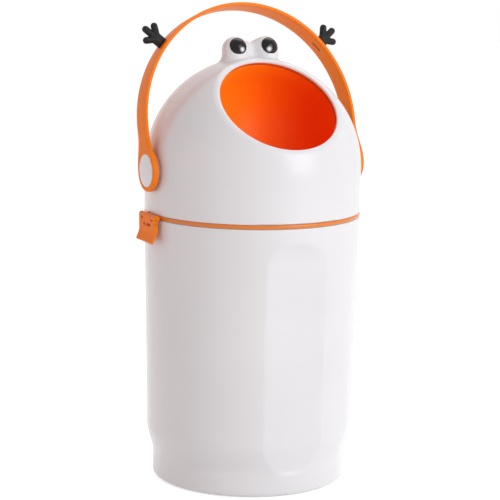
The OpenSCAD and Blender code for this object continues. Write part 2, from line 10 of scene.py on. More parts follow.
import bmesh
import bpy
import numpy as np
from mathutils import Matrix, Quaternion, Vector


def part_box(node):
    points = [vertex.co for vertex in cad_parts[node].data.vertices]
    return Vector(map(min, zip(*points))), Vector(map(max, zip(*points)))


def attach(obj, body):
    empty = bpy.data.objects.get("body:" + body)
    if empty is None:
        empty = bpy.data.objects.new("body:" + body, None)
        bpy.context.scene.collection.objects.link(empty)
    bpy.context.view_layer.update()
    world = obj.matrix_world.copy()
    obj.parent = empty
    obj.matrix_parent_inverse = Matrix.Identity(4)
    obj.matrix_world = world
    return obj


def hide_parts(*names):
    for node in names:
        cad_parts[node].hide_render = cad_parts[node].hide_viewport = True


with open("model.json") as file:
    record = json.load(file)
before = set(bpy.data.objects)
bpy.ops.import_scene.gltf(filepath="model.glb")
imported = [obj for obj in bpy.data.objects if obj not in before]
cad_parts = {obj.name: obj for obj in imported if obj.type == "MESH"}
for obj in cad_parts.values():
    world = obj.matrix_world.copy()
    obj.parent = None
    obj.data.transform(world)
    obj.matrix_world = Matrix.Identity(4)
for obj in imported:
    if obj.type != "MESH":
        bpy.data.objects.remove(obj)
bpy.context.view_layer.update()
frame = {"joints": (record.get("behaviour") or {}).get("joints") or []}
MM = 0.001
joints = {j["name"]: j for j in frame["joints"]}


def corners(node):
    """Lowest and highest corner of a CAD node, in millimetres."""
    return [np.array(c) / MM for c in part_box(node)]


def place(joint):
    """A joint's position, in millimetres."""
    return np.array(joints[joint]["pos_m"]) / MM


# %% [markdown]
# All shapes are worked out in millimetres. The main sizes come from the frame: the lid ring gives the
# body's radius, the handle's joint gives the centre of the dome's ball.

# %% Main sizes
BODY_R = corners("lid_ring")[1][1]
RIM_Z = corners("bucket")[1][2]
FLOOR_Z = corners("bucket")[0][2]
DOME_Z = corners("dome")[0][2]
PIVOT = place("handle_swing")
MOUTH_TILT = np.radians(49.7)
MOUTH_DIR = np.array([0.0, -np.cos(MOUTH_TILT), np.sin(MOUTH_TILT)])
print("body radius", BODY_R, "rim", RIM_Z, "dome", DOME_Z, "pivot", PIVOT)

# %% [markdown]
# Every piece is a grid of points: rows along one parameter, columns along another. A grid that closes
# on itself wraps round, and a row that shrinks to a point closes as a pole once doubles are merged.
# The faces are turned outwards by the sign of the volume that they enclose.

# %% Grids to meshes
def grid_faces(rows, cols, wrap_rows):
    """Quads between neighbouring rows and columns. Columns always wrap, rows wrap if asked."""
    i = np.arange(rows if wrap_rows else rows - 1)[:, None]
    j = np.arange(cols)[None, :]
    i2, j2 = (i + 1) % rows, (j + 1) % cols
    quad = [i * cols + j, i2 * cols + j, i2 * cols + j2, i * cols + j2]
    return np.stack(np.broadcast_arrays(*quad), -1).reshape(-1, 4)


def volume_sign(points, quads):
    """Sign of the volume inside: the sum of a . (b x c) over the two triangles of each quad."""
    a, b, c, d = (points[quads[:, k]] for k in range(4))
    total = np.einsum("ij,ij->", a, np.cross(b, c)) + np.einsum("ij,ij->", a, np.cross(c, d))
    return 1 if total > 0 else -1


def solid(name, shells, body, instead_of, slot, finish=None):
    """One piece from closed shells, each a (rows, cols, 3) grid in mm, or (grid, True) to wrap rows.
    It gets its slot's finish, or one of its own."""
    points, faces, start = [], [], 0
    for shell in shells:
        grid, wrap_rows = shell if isinstance(shell, tuple) else (shell, False)
        flat = grid.reshape(-1, 3)
        quads = grid_faces(grid.shape[0], grid.shape[1], wrap_rows)
        if volume_sign(flat - flat.mean(0), quads) < 0:
            quads = quads[:, ::-1]
        points.append(flat)
        faces.append(quads + start)
        start += len(flat)
    mesh = bpy.data.meshes.new(name)
    mesh.from_pydata((np.concatenate(points) * MM).tolist(), [], np.concatenate(faces).tolist())
    piece = bpy.data.objects.new(name, mesh)
    bpy.context.scene.collection.objects.link(piece)
    merge_doubles(mesh)
    mesh.polygons.foreach_set("use_smooth", np.ones(len(mesh.polygons), bool))
    mesh.materials.append(finish or FINISH[slot])
    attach(piece, body)
    if instead_of:
        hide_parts(*instead_of)
    print(name, len(mesh.polygons), "faces,", mesh.materials[0].name)
    return piece


def merge_doubles(mesh, distance=1e-7):
    """Merges points that lie on each other, which closes poles and seams."""
    work = bmesh.new()
    work.from_mesh(mesh)
    bmesh.ops.remove_doubles(work, verts=work.verts, dist=distance)
    work.to_mesh(mesh)
    work.free()


print("a grid of 3 by 4 points has", len(grid_faces(3, 4, False)), "faces, and", len(grid_faces(3, 4, True)),
      "if its rows wrap too")

# %% [markdown]
# Colours are written as sRGB hex values, as a designer would give them. The shader works in linear
# light, so one function turns each into linear. A second small function adds a shader node of any kind
# with its settings and links, which keeps each material's recipe short.

# %% Colour and node helpers
def linear(hex_colour):
    """sRGB hex to linear RGBA: c / 12.92 below 0.04045, else ((c + 0.055) / 1.055) ** 2.4."""
    c = np.array([int(hex_colour[k:k + 2], 16) for k in (1, 3, 5)]) / 255
    return tuple(np.where(c <= 0.04045, c / 12.92, ((c + 0.055) / 1.055) ** 2.4)) + (1.0,)


def add(tree, kind, settings=None, inputs=(), **links):
    """Adds a shader node. Settings are its fields or sockets by name, and a ramp's stops as (place, colour).
    Inputs, in order, and links by name join its sockets to other nodes' outputs. A plain value in inputs
    is set, and None leaves a socket."""
    made = tree.nodes.new("ShaderNode" + kind)
    for key, value in (settings or {}).items():
        if key == "stops":
            for _ in value[2:]:
                made.color_ramp.elements.new(0.5)
            for element, (position, colour) in zip(made.color_ramp.elements, value):
                element.position, element.color = position, linear(colour)
        elif key in made.inputs:
            made.inputs[key].default_value = value
        else:
            setattr(made, key, value)
    for socket, source in zip(made.inputs, inputs):
        if isinstance(source, bpy.types.NodeSocket):
            tree.links.new(source, socket)
        elif source is not None:
            socket.default_value = source
    for key, source in links.items():
        tree.links.new(source, made.inputs[key.replace("_", " ")])
    return made


def new_material(name):
    """A material with its node tree and its shader, ready for a recipe."""
    material = bpy.data.materials.new(name)
    material.use_nodes = True
    return material, material.node_tree, material.node_tree.nodes["Principled BSDF"]


print("mid grey in linear light:", round(linear("#808080")[0], 3))

# %% [markdown]
# Every moulding here shares one recipe, because they are made in one way. Noise at the grain's size
# drives a very low bump. A second, much larger noise moves the gloss and the tone a little from place to
# place, which keeps a big white wall from looking like a flat fill.

# %% Recipe of a moulded plastic
FLOW_MM = 90                # size of the patches in which a moulding's tone drifts


def plastic(name, colour, deep, roughness, grain_mm, grain_depth_mm, drift=0.03, **extra):
    """A moulded plastic: fine grain as bump, and a slow drift of gloss and tone from the mould."""
    material, tree, shader = new_material(name)
    where = add(tree, "TexCoord").outputs["Object"]
    grain = add(tree, "TexNoise", {"Scale": 1 / (grain_mm * MM), "Detail": 2.0}, Vector=where)
    flow = add(tree, "TexNoise", {"Scale": 1 / (FLOW_MM * MM), "Detail": 1.0}, Vector=where)
    bump = add(tree, "Bump", {"Strength": 0.6, "Distance": grain_depth_mm * MM},
               Height=grain.outputs["Fac"])
    gloss = add(tree, "MapRange", {"To Min": roughness - drift, "To Max": roughness + drift},
                Value=flow.outputs["Fac"])
    tone = add(tree, "ValToRGB", {"stops": [(0.3, deep), (0.7, colour)]}, Fac=flow.outputs["Fac"])
    tree.links.new(tone.outputs["Color"], shader.inputs["Base Color"])
    tree.links.new(gloss.outputs["Result"], shader.inputs["Roughness"])
    tree.links.new(bump.outputs["Normal"], shader.inputs["Normal"])
    for socket, value in extra.items():
        shader.inputs[socket.replace("_", " ")].default_value = value
    return material


print("tone drifts over", FLOW_MM, "mm")

# %% [markdown]
# Each finish starts from what the real one is and how its surface was made, because that decides what
# the eye sees. Injection moulding leaves the grain of the mould and a faint drift of tone where the resin
# flowed. Real grain of this kind is finer than a tenth of a millimetre. Here it is drawn at about half
# a millimetre, so that a close view shows it.

# %% Plastics
# A polished mould gives a soft gloss, which mirrors the handle as a blurred orange stripe.
WHITE_PP = plastic("white polypropylene, polished mould", "#E7E5E8", "#E4E2E5", 0.24, 0.5, 0.006,
                   IOR=1.49, Specular_IOR_Level=0.4, Coat_Weight=0.1, Coat_Roughness=0.12)
# The same resin with pigment, from a satin mould: strong colour with hardly any highlight over it.
ORANGE_PP = plastic("orange polypropylene, satin mould", "#FF8620", "#FD801C", 0.4, 0.4, 0.008,
                    IOR=1.49, Specular_IOR_Level=0.08)
# The lid ring is a deeper orange with a polished edge, so a thin line of light runs along it.
RING_PP = plastic("orange polypropylene, polished edge", "#E47E28", "#E07A24", 0.24, 0.4, 0.006,
                  IOR=1.49, Specular_IOR_Level=0.5)
# The bowl is a moulding of its own and catches a little more light than the handle. Its colour runs from
# side to side as painted shade, which the next cell adds.
BOWL_PP = plastic("orange polypropylene, bowl moulding", "#FF7A18", "#FF7A18", 0.4, 0.4, 0.008,
                  IOR=1.49, Specular_IOR_Level=0.14)
# Thermoplastic rubbers look dusty, because their skin scatters light: broad dull highlights, flat tone.
ORANGE_TPE = plastic("orange thermoplastic rubber, matt", "#E8661C", "#DC5E18", 0.6, 0.35, 0.02,
                     IOR=1.5, Specular_IOR_Level=0.2)
GREY_TPE = plastic("grey thermoplastic rubber, matt", "#9C9C9B", "#949494", 0.62, 0.35, 0.02, IOR=1.5)
# Natural acetal is a milky white. Its turned face spreads the highlight a little.
GREY_POM = plastic("natural acetal, turned smooth", "#D8D6D0", "#CFCDC8", 0.38, 0.5, 0.006, IOR=1.48)
# A spark-eroded mould gives soft-touch rubber a fine even grain, so black stays black under the lamps.
BLACK_TPE = plastic("black soft-touch rubber, spark-eroded", "#1E1D1D", "#191818", 0.55, 0.4, 0.03,
                    IOR=1.5, Specular_IOR_Level=0.25)
# Polished acrylic is nearly a mirror, so it shows small sharp highlights on deep black.
BLACK_PMMA = plastic("black acrylic, polished", "#080708", "#060506", 0.08, 0.8, 0.002, drift=0.02,
                     IOR=1.49, Specular_IOR_Level=0.3)
print("materials so far, with the frame's own:", len(bpy.data.materials))

# %% [markdown]
# The bowl's colour carries painted shade: it runs from orange on one side to a redder tone towards the
# part's +x side, where the bowl lies in shade. A ramp along the part's x axis paints that. The hinge's pin
# and the screws are steel with a thin coat of zinc. It is bluish, and its gloss varies in specks, which are
# drawn coarser than real ones so that they show.

# %% Bowl's painted shade and zinc plate
BOWL_HALF_MM, SPECK_MM = 60, 0.3        # half the width that the bowl's ramp spans, and the specks' size


def paint_shade_across(material, low, high, stops):
    """Replaces the colour by one that runs along the part's x axis, between two places in metres."""
    tree = material.node_tree
    where = add(tree, "TexCoord").outputs["Object"]
    x = add(tree, "SeparateXYZ", Vector=where).outputs["X"]
    along = add(tree, "MapRange", {"From Min": low, "From Max": high}, Value=x)
    tone = add(tree, "ValToRGB", {"stops": stops}, Fac=along.outputs["Result"])
    tree.links.new(tone.outputs["Color"], tree.nodes["Principled BSDF"].inputs["Base Color"])


# Painted shade: the bowl is painted redder towards +x, the side that lies in shade.
paint_shade_across(BOWL_PP, -BOWL_HALF_MM * MM, BOWL_HALF_MM * MM,
             [(0.0, "#FF941C"), (0.5, "#FF7A10"), (1.0, "#FA4808")])


def zinc_plate():
    """Bright zinc on steel: a bluish metal whose gloss varies in fine specks."""
    material, tree, shader = new_material("zinc-plated steel, drawn")
    where = add(tree, "TexCoord").outputs["Object"]
    specks = add(tree, "TexNoise", {"Scale": 1 / (SPECK_MM * MM), "Detail": 3.0}, Vector=where)
    gloss = add(tree, "MapRange", {"To Min": 0.22, "To Max": 0.4}, Value=specks.outputs["Fac"])
    shader.inputs["Base Color"].default_value = linear("#C6C9CC")
    shader.inputs["Metallic"].default_value = 1.0
    tree.links.new(gloss.outputs["Result"], shader.inputs["Roughness"])
    return material


FINISH = {"white_shell": WHITE_PP, "orange_plastic": ORANGE_PP, "orange_rubber": ORANGE_TPE,
          "black_hands": BLACK_TPE, "black_eyes": BLACK_PMMA, "grey_plastic": GREY_POM,
          "grey_rubber": GREY_TPE, "steel": zinc_plate()}
print("finishes:", ", ".join(FINISH))

# %% [markdown]
# Two small tools shape most pieces. A profile of radius and height turned about an axis gives rings,
# caps and bowls. A smooth minimum joins two shapes with a fillet of a chosen width, as the round-nosed
# cutter of a mould maker leaves it.

# %% Turning and blending
AROUND = np.linspace(0, 2 * np.pi, 192, endpoint=False)


def frame_about(axis):
    """Two unit vectors at right angles to an axis, and the axis itself."""
    axis = np.array(axis, float) / np.linalg.norm(axis)
    side = np.cross(axis, [0.0, 0.0, 1.0] if abs(axis[2]) < 0.9 else [1.0, 0.0, 0.0])
    side /= np.linalg.norm(side)
    return side, np.cross(axis, side), axis


def turned(profile, centre, axis, angles=AROUND):
    """Each (r, h) of the profile becomes a ring: centre + h axis + r (cos a, sin a) across it."""
    side, up, along = frame_about(axis)
    r, h = np.array(profile, float).T
    ring = np.cos(angles)[:, None] * side + np.sin(angles)[:, None] * up
    return np.array(centre) + r[:, None, None] * ring + h[:, None, None] * along


def arc(centre, radius, start, end, steps):
    """Points of an arc in a profile, from one angle to the other, in degrees."""
    a = np.radians(np.linspace(start, end, steps))
    return np.stack([centre[0] + radius * np.cos(a), centre[1] + radius * np.sin(a)], 1)


def rounded_profile(corner_points, radius, steps=5):
    """A closed (r, h) outline whose corners are parabolas. Each starts and ends at the given distance
    from its corner, or at 45% of the shorter side."""
    here = np.array(corner_points, float)
    back, ahead = np.roll(here, 1, 0) - here, np.roll(here, -1, 0) - here
    back_length, ahead_length = (np.linalg.norm(side, axis=1) for side in (back, ahead))
    cut = np.minimum(np.broadcast_to(radius, len(here)), 0.45 * np.minimum(back_length, ahead_length))
    start = here + back * (cut / back_length)[:, None]
    end = here + ahead * (cut / ahead_length)[:, None]
    t = np.linspace(0, 1, steps)[:, None]
    start, here, end = start[:, None], here[:, None], end[:, None]
    return ((1 - t) ** 2 * start + 2 * t * (1 - t) * here + t ** 2 * end).reshape(-1, 2)


def smooth_min(a, b, width):
    """The smaller of two values, joined by a parabola where they differ by less than the width."""
    h = np.clip(width - np.abs(a - b), 0, None) / width
    return np.minimum(a, b) - h * h * width / 4


def smooth_max(a, b, width):
    """The larger of two values, joined in the same way."""
    return -smooth_min(-a, -b, width)


def smooth_step(t):
    """0 below 0, 1 above 1, and between them 3 t squared less 2 t cubed."""
    t = np.clip(t, 0, 1)
    return t * t * (3 - 2 * t)


print("points around a turned piece:", len(AROUND))

# %% [markdown]
# The bucket is a thin moulding with a slight draft, so that it leaves its mould: it widens by about one
# degree towards the rim. Its wall stands on a narrower foot with a rounded shoulder above.
# The flat front panel isn't a separate piece. It is the place where the round wall is cut back to a
# plane, so the radius is the smaller of the wall's and the plane's, joined with a small fillet. Towards
# the top the plane leans out until it leaves the wall, which gives the panel its arched end. At the
# bottom it follows the shoulder in and leaves the wall in the same way.

# %% Bucket's wall and panel
WAIST_R, WAIST_Z = 115.4, 60.0          # where the shoulder ends and the drafted wall starts
FOOT_R, FOOT_H, FOOT_EDGE = 108.5, 25.0, 5.0
DRAFT = (BODY_R - WAIST_R) / (RIM_Z - WAIST_Z)
WALL, RIM_EDGE = 2.8, 0.7
PANEL_W, PANEL_TOP, PANEL_FADE = 71.0, RIM_Z - 39.5, 26.0
PANEL_DEPTH = BODY_R - np.sqrt(BODY_R ** 2 - PANEL_W ** 2 / 4)      # a flat this wide cuts this deep
PANEL_EDGE = 0.8                        # width of the fillet along the panel's edges
PANEL_SINK = 3.0                        # how far the panel follows the shoulder in
PANEL_LOW, PANEL_END = 34.0, 20.0       # where it starts to run out below, and over what height
PLANE_FROM_R = 102.0                    # the underside and the floor, inside this radius, stay round
print("draft of the wall:", round(float(np.degrees(np.arctan(DRAFT))), 2), "degrees")


def round_wall(z):
    """Outer radius at a height: foot, shoulder as a smooth step, then the drafted wall."""
    shoulder = FOOT_R + (WAIST_R - FOOT_R) * smooth_step((z - FOOT_H) / (WAIST_Z - FOOT_H))
    return np.where(z < WAIST_Z, shoulder, WAIST_R + DRAFT * (z - WAIST_Z))


def panel_distance(z):
    """Distance of the panel's plane in front of the axis. It follows the shoulder in by a smooth step,
    and beyond its top and its lower end it curves out as a parabola."""
    plane = WAIST_R + DRAFT * (z - WAIST_Z) - PANEL_DEPTH
    plane = plane - PANEL_SINK * smooth_step((WAIST_Z - z) / (WAIST_Z - FOOT_H))
    plane = plane + (PANEL_DEPTH + PANEL_SINK) * (np.clip(PANEL_LOW - z, 0, None) / PANEL_END) ** 2
    return plane + (PANEL_DEPTH + 1) * (np.clip(z - PANEL_TOP, 0, None) / PANEL_FADE) ** 2


def cut_by_panel(r, z, a, depth=0.0):
    """The smaller of the wall's radius and the panel's: the plane's distance, less the depth, over the
    cosine of the angle from the front."""
    plane = (panel_distance(z) - depth)[:, None] / np.clip(-np.cos(a), 0.2, None)[None, :]
    facing = (np.cos(a) < -0.5)[None, :] & (r > PLANE_FROM_R)[:, None]
    return np.where(facing, smooth_min(r[:, None], plane, PANEL_EDGE), r[:, None])

# %% [markdown]
# The wall's grid has its rows and columns close together only where the shape turns quickly: at the
# shoulder, along the panel's two edges and around its arched top. Elsewhere they are far apart.

# %% Bucket
def bucket_angles(band=0.09):
    """Angles round the bucket, from the back. They are close together in a band at each edge of the
    panel, whose half width is given in radians."""
    edge = np.arcsin(PANEL_W / 2 / BODY_R)
    fine = np.linspace(-band, band, 45)
    left, right = np.pi - edge + fine, np.pi + edge + fine
    return np.concatenate([
        np.linspace(0, left[0], 110, endpoint=False), left,
        np.linspace(left[-1], right[0], 14)[1:-1], right,
        np.linspace(right[-1], 2 * np.pi, 110, endpoint=False)[1:]])


def bucket_shell():
    """Rows go from the middle of the underside up the outside, over the rim and down the inside."""
    a = bucket_angles()
    foot = arc((FOOT_R - FOOT_EDGE, FLOOR_Z + FOOT_EDGE), FOOT_EDGE, -90, 0, 9)
    heights = np.concatenate([
        np.linspace(FOOT_H - 14, WAIST_Z, 48), np.linspace(WAIST_Z, PANEL_TOP - 8, 14)[1:],
        np.linspace(PANEL_TOP - 8, PANEL_TOP + PANEL_FADE + 1, 44)[1:], [RIM_Z - 6, RIM_Z - 2]])
    rim = arc((BODY_R - RIM_EDGE, RIM_Z - RIM_EDGE), RIM_EDGE, 0, 90, 5)
    out_r = np.concatenate([[0, 40, 90], foot[:, 0], round_wall(heights), rim[:, 0]])
    out_z = np.concatenate([[FLOOR_Z] * 3, foot[:, 1], heights, rim[:, 1]])
    # Inside, the wall turns into the floor in a soft corner
    in_z = np.concatenate([[RIM_Z, RIM_Z - 2], heights[::-1], [10.0, 8.5, 5.5, 3.6, 3.6, 3.6]])
    in_r = np.concatenate([[BODY_R - WALL + 0.4, BODY_R - WALL], round_wall(heights[::-1]) - WALL,
                           [FOOT_R - WALL, FOOT_R - WALL - 0.4, FOOT_R - WALL - 2, 100, 50, 0]])
    r = np.concatenate([cut_by_panel(out_r, out_z, a), cut_by_panel(in_r, in_z, a, WALL)])
    z = np.concatenate([out_z, in_z])
    return np.stack([r * np.sin(a), r * np.cos(a), np.broadcast_to(z[:, None], r.shape)], -1)


solid("bucket_shell", [bucket_shell()], "bin", ["bucket"], "white_shell")

# %% [markdown]
# The dome is a ball on a short upright wall, with a big round mouth cut through it and two eye bumps
# that grow out of its top. Ready-made balls joined by booleans would leave hard creases, where the real
# moulding has fillets. So the skin is given as a distance field: how far a point lies from the ball,
# from each bump and from the slightly coned rim of the mouth, joined by smooth minimum and maximum. In
# front of the eyes the blends are narrow, so that the bumps stand up sharply, and behind they are wide.

# %% Dome's skin as a field
MOUTH_R, RIM_CUT, RIM_SLOPE = 65.9, 3.2, 0.25       # the rim is cut into the ball, and coned
RIM_HEIGHT = np.sqrt(BODY_R ** 2 - MOUTH_R ** 2) - RIM_CUT
BUMP_R, BUMP_X, BUMP_Y, BUMP_UP = 14.5, 18.5, 11.46, 7.6
BUMPS = [np.array([s * BUMP_X, BUMP_Y, PIVOT[2] + BODY_R + BUMP_UP]) for s in (-1, 1)]
SADDLE, BUMP_FILLET = (15.0, 24.0), (3.0, 8.0)      # widths of the blends, in front and behind
BEHIND_FROM, BEHIND_OVER = -11.0, 14.0              # where the front ends, from a bump's middle
RIM_FILLET = 5.0
print("mouth radius", MOUTH_R, "rim height", round(RIM_HEIGHT, 2))


def mouth_frame(p):
    """Height along the mouth's axis and radius from it, of points in mm."""
    from_pivot = p - PIVOT
    h = from_pivot @ MOUTH_DIR
    return h, np.linalg.norm(from_pivot - h[..., None] * MOUTH_DIR, axis=-1)


def dome_field(p, sunk=0.0):
    """Distance outside the skin, below zero inside. The bumps can be sunk; in front they blend less."""
    up = p[..., 2] - PIVOT[2]
    skin = np.sqrt(p[..., 0] ** 2 + p[..., 1] ** 2 + np.clip(up, 0, None) ** 2) - BODY_R
    left, right = (p - (centre - [0, 0, sunk]) for centre in BUMPS)
    for to_bump in (left, right):
        to_bump[..., 2] = np.clip(to_bump[..., 2], 0, None)
    behind = smooth_step((p[..., 1] - BUMP_Y - BEHIND_FROM) / BEHIND_OVER)
    saddle, fillet = (front + (back - front) * behind for front, back in (SADDLE, BUMP_FILLET))
    bumps = smooth_min(np.linalg.norm(left, axis=-1), np.linalg.norm(right, axis=-1), saddle) - BUMP_R
    skin = smooth_min(skin, bumps, fillet)
    h, r = mouth_frame(p)
    return smooth_max(skin, h - (RIM_HEIGHT + RIM_SLOPE * (r - MOUTH_R)), RIM_FILLET)

# %% [markdown]
# A grid of points around the mouth is moved onto the skin along the field's slope. Moved in one go, the
# points would bunch up at the foot of the bumps. So the bumps rise out of the dome in small steps, and
# after each step the points are evened out by moving them towards the mean of their neighbours.

# %% Moving a grid onto the skin
BUMP_RISE, RISE_STEPS, SETTLE_STEPS = 23.0, 26, 16


def onto_skin(p, sunk=0.0, rounds=2, step=0.05, least=0.05):
    """Newton's method: each point moves by the field over its squared slope, along the slope. The least
    value under the division keeps a point still where the field is flat."""
    for _ in range(rounds):
        f = dome_field(p, sunk)
        slope = np.stack([dome_field(p + d, sunk) - f for d in np.eye(3) * step], -1) / step
        p = p - (f / np.maximum((slope ** 2).sum(-1), least))[..., None] * slope
    return p


def evened_out(skin, rows):
    """Moves the first rows' points, but not the lip's, halfway to the mean of their four neighbours."""
    mean = (skin[:-2] + skin[2:] + np.roll(skin, 1, 1)[1:-1] + np.roll(skin, -1, 1)[1:-1]) / 4
    skin[1:rows] += 0.5 * (mean[:rows - 1] - skin[1:rows])


def grown(skin, rows):
    """Raises the bumps out of the dome bit by bit. The points of the first rows follow."""
    for k in range(RISE_STEPS + SETTLE_STEPS):
        skin[:rows] = onto_skin(skin[:rows], BUMP_RISE * max(0.0, 1 - (k + 1) / RISE_STEPS))
        for _ in range(4):
            evened_out(skin, rows)
    skin[:rows] = onto_skin(skin[:rows])
    return skin


print("the bumps rise by", BUMP_RISE, "mm in", RISE_STEPS, "steps")

# %% [markdown]
# The grid is polar around the mouth: columns run from the mouth's edge outwards over the dome to its
# bottom edge, close together where they cross the eye bumps. The lip turns inwards with a soft radius,
# and the inner wall follows the same columns back, so the whole shell is one closed surface.

# %% Dome's columns
EYES_AT, EYES_SPREAD = 1.5 * np.pi, 0.58            # where the columns are close, in radians
SIDE, DOWN = frame_about(MOUTH_DIR)[:2]


def across_mouth(turn):
    """Direction at right angles to the mouth's axis, at an angle around it."""
    return np.cos(turn)[..., None] * SIDE + np.sin(turn)[..., None] * DOWN


def polar(tilt, turn):
    """Direction at one angle from the mouth's axis and another around it."""
    return np.cos(tilt)[..., None] * MOUTH_DIR + np.sin(tilt)[..., None] * across_mouth(turn)


def on_capsule(directions, radius):
    """Where rays from the pivot meet a ball that stands on an upright cylinder of the same radius."""
    sideways = np.hypot(directions[..., 0], directions[..., 1])
    reach = np.where(directions[..., 2] < 0, radius / np.maximum(sideways, 1e-6), radius)
    return PIVOT + directions * reach[..., None]


def dome_columns():
    """Angles around the mouth's axis, close together where the columns cross the eye bumps."""
    return EYES_AT + np.concatenate([
        np.linspace(-EYES_SPREAD, EYES_SPREAD, 190, endpoint=False),
        np.linspace(EYES_SPREAD, 2 * np.pi - EYES_SPREAD, 170, endpoint=False)])


def bottom_tilt(turn):
    """Tilt at which each column meets the dome's bottom edge: where the direction's height, a cos t +
    b sin t, is that of the edge."""
    a, b = MOUTH_DIR[2], DOWN[2] * np.sin(turn)
    drop = np.sin(np.arctan2(DOME_Z - PIVOT[2], BODY_R))
    return np.arctan2(b, a) + np.arccos(drop / np.hypot(a, b))


print("columns around the mouth:", len(dome_columns()))

# %% [markdown]
# At the bottom the skin ends in level circles, and at the mouth in circles about its axis, because the
# ring and the ball that it meets there are turned. A round pad on each side is the pivot's seat.

# %% Dome
DOME_WALL = 3.0
COLLAR_R, COLLAR_EDGE = 114.9, 72.3     # inside of the thick rim behind the mouth, and its outer edge
LIP_EDGE = 1.3                          # the skin starts this far outside the mouth
FINE_ROWS, FINE_REACH = 100, np.radians(26)         # close rows, from the lip to beyond the bumps
PAD_R, PAD_OUT, PAD_IN, BUSH_R = 15.95, 121.2, 113.4, 9.05


def level_ring(around, r, z):
    """A level circle about the body's axis, at the columns' angles around it."""
    return np.stack([r * np.cos(around), r * np.sin(around), np.full(len(around), z)], -1)


def lip_rows(turn, top):
    """Circles about the mouth's axis, from (radius, height) pairs: the collar's rear face, the mouth's
    bore, and a soft edge up to the height where the skin starts."""
    bore_low = np.sqrt(COLLAR_R ** 2 - MOUTH_R ** 2)
    lip = np.array([(COLLAR_EDGE, np.sqrt(COLLAR_R ** 2 - COLLAR_EDGE ** 2)),
                    (MOUTH_R + 0.5, bore_low - 0.2), (MOUTH_R, bore_low + 0.3), (MOUTH_R, top - 2.0),
                    (MOUTH_R + 0.08, top - 1.1), (MOUTH_R + 0.33, top - 0.5), (MOUTH_R + 0.75, top - 0.12)])
    return PIVOT + lip[:, 1, None, None] * MOUTH_DIR + lip[:, 0, None, None] * across_mouth(turn)


def dome_shell():
    """Outer skin from the lip to the bottom edge, then the inner wall back to the lip."""
    turn, in_r = dome_columns(), BODY_R - DOME_WALL
    first, last = np.arctan2(MOUTH_R + LIP_EDGE, RIM_HEIGHT), bottom_tilt(turn)
    fine, coarse = np.linspace(0, 1, FINE_ROWS)[:, None], np.linspace(0, 1, 54)[1:, None]
    middle = first + FINE_REACH
    tilt = np.concatenate([first + (middle - first) * fine + 0 * turn, middle + (last - middle) * coarse])
    skin = grown(on_capsule(polar(tilt, turn), BODY_R), FINE_ROWS - 1)
    around = np.arctan2(skin[-1, :, 1], skin[-1, :, 0])
    skin[-1] = level_ring(around, BODY_R, DOME_Z + 0.6)
    edge = [level_ring(around, r, z) for r, z in
            [(BODY_R - 0.15, DOME_Z + 0.15), (BODY_R - 0.6, DOME_Z), (in_r + 0.3, DOME_Z)]]
    inner_first = np.arcsin((COLLAR_EDGE + 1.5) / in_r)
    back = inner_first + (last - inner_first) * np.linspace(1, 0, 40)[:, None]
    inner = on_capsule(polar(back, turn), in_r)
    inner[0] = level_ring(around, in_r, DOME_Z + 0.3)
    return np.concatenate([skin, np.stack(edge), inner, lip_rows(turn, mouth_frame(skin[0, 0])[0])])


pad = rounded_profile([(BUSH_R, PAD_IN), (BUSH_R, PAD_OUT), (PAD_R, PAD_OUT), (PAD_R, PAD_IN)],
                      [0.1, 0.1, 0.8, 0.1])
pads = [(turned(pad, PIVOT, (s, 0, 0)), True) for s in (-1, 1)]
solid("dome_shell", [(dome_shell(), True)] + pads, "lid", ["dome"], "white_shell")

# %% [markdown]
# The ball behind the mouth is turned on its axis through the mouth, so that its hole and the bowl's lip
# are true circles. The bowl is a deep dish with a narrow lip that closes the ball's hole. Both are thin
# orange mouldings, and light that enters the bowl is passed from wall to wall. The bowl shares the other
# orange parts' slot and has a finish of its own.

# %% Ball and bowl
BALL_R, BALL_WALL = 112.6, 2.4
HOLE_R, BOWL_R, BOWL_DEPTH = 72.0, 66.0, 84.0
BOWL_CENTRE = np.sqrt(BALL_R ** 2 - BOWL_R ** 2) - BOWL_DEPTH + BOWL_R
BOSS_BORE, BOSS_R, BOSS_IN, BOSS_OUT = 6.5, 16.0, 100.6, 111.0      # seats of the hubs, inside the ball


def on_ball(radius, r):
    """A profile point on a ball of the given radius, at distance r from the mouth's axis."""
    return (r, np.sqrt(radius ** 2 - r ** 2))


def ball_profile():
    """From the hole's edge round the outside to the back, then along the inside to the hole again."""
    start = np.degrees(np.arccos(HOLE_R / BALL_R))
    inside = BALL_R - BALL_WALL
    start_in = np.degrees(np.arccos(HOLE_R / inside))
    return np.concatenate([arc((0, 0), BALL_R, start - 0.3, -90, 90),
                           arc((0, 0), inside, -90, start_in - 0.2, 40),
                           [on_ball(BALL_R - BALL_WALL / 2, HOLE_R),
                            on_ball(BALL_R - 0.25, HOLE_R + 0.04)]])


def bowl_profile():
    """Dish from its middle up to the lip, over the ball's surface, and back along its outside."""
    under = BALL_R - BALL_WALL
    top = on_ball(BALL_R, BOWL_R)[1]
    dish = arc((0, BOWL_CENTRE), BOWL_R, -90, 0, 46)
    lip = [(BOWL_R, top - 1.4), (BOWL_R + 0.12, top - 0.9), (BOWL_R + 0.5, top - 0.75),
           on_ball(BALL_R - 0.05, BOWL_R + 1.3), on_ball(BALL_R, BOWL_R + 3), on_ball(BALL_R, HOLE_R - 0.5),
           on_ball(BALL_R - 0.4, HOLE_R - 0.06), on_ball(under, HOLE_R - 0.06),
           on_ball(under, BOWL_R + BALL_WALL)]
    back = arc((0, BOWL_CENTRE), BOWL_R + BALL_WALL, 0, -90, 40)
    return np.concatenate([dish, lip, back])


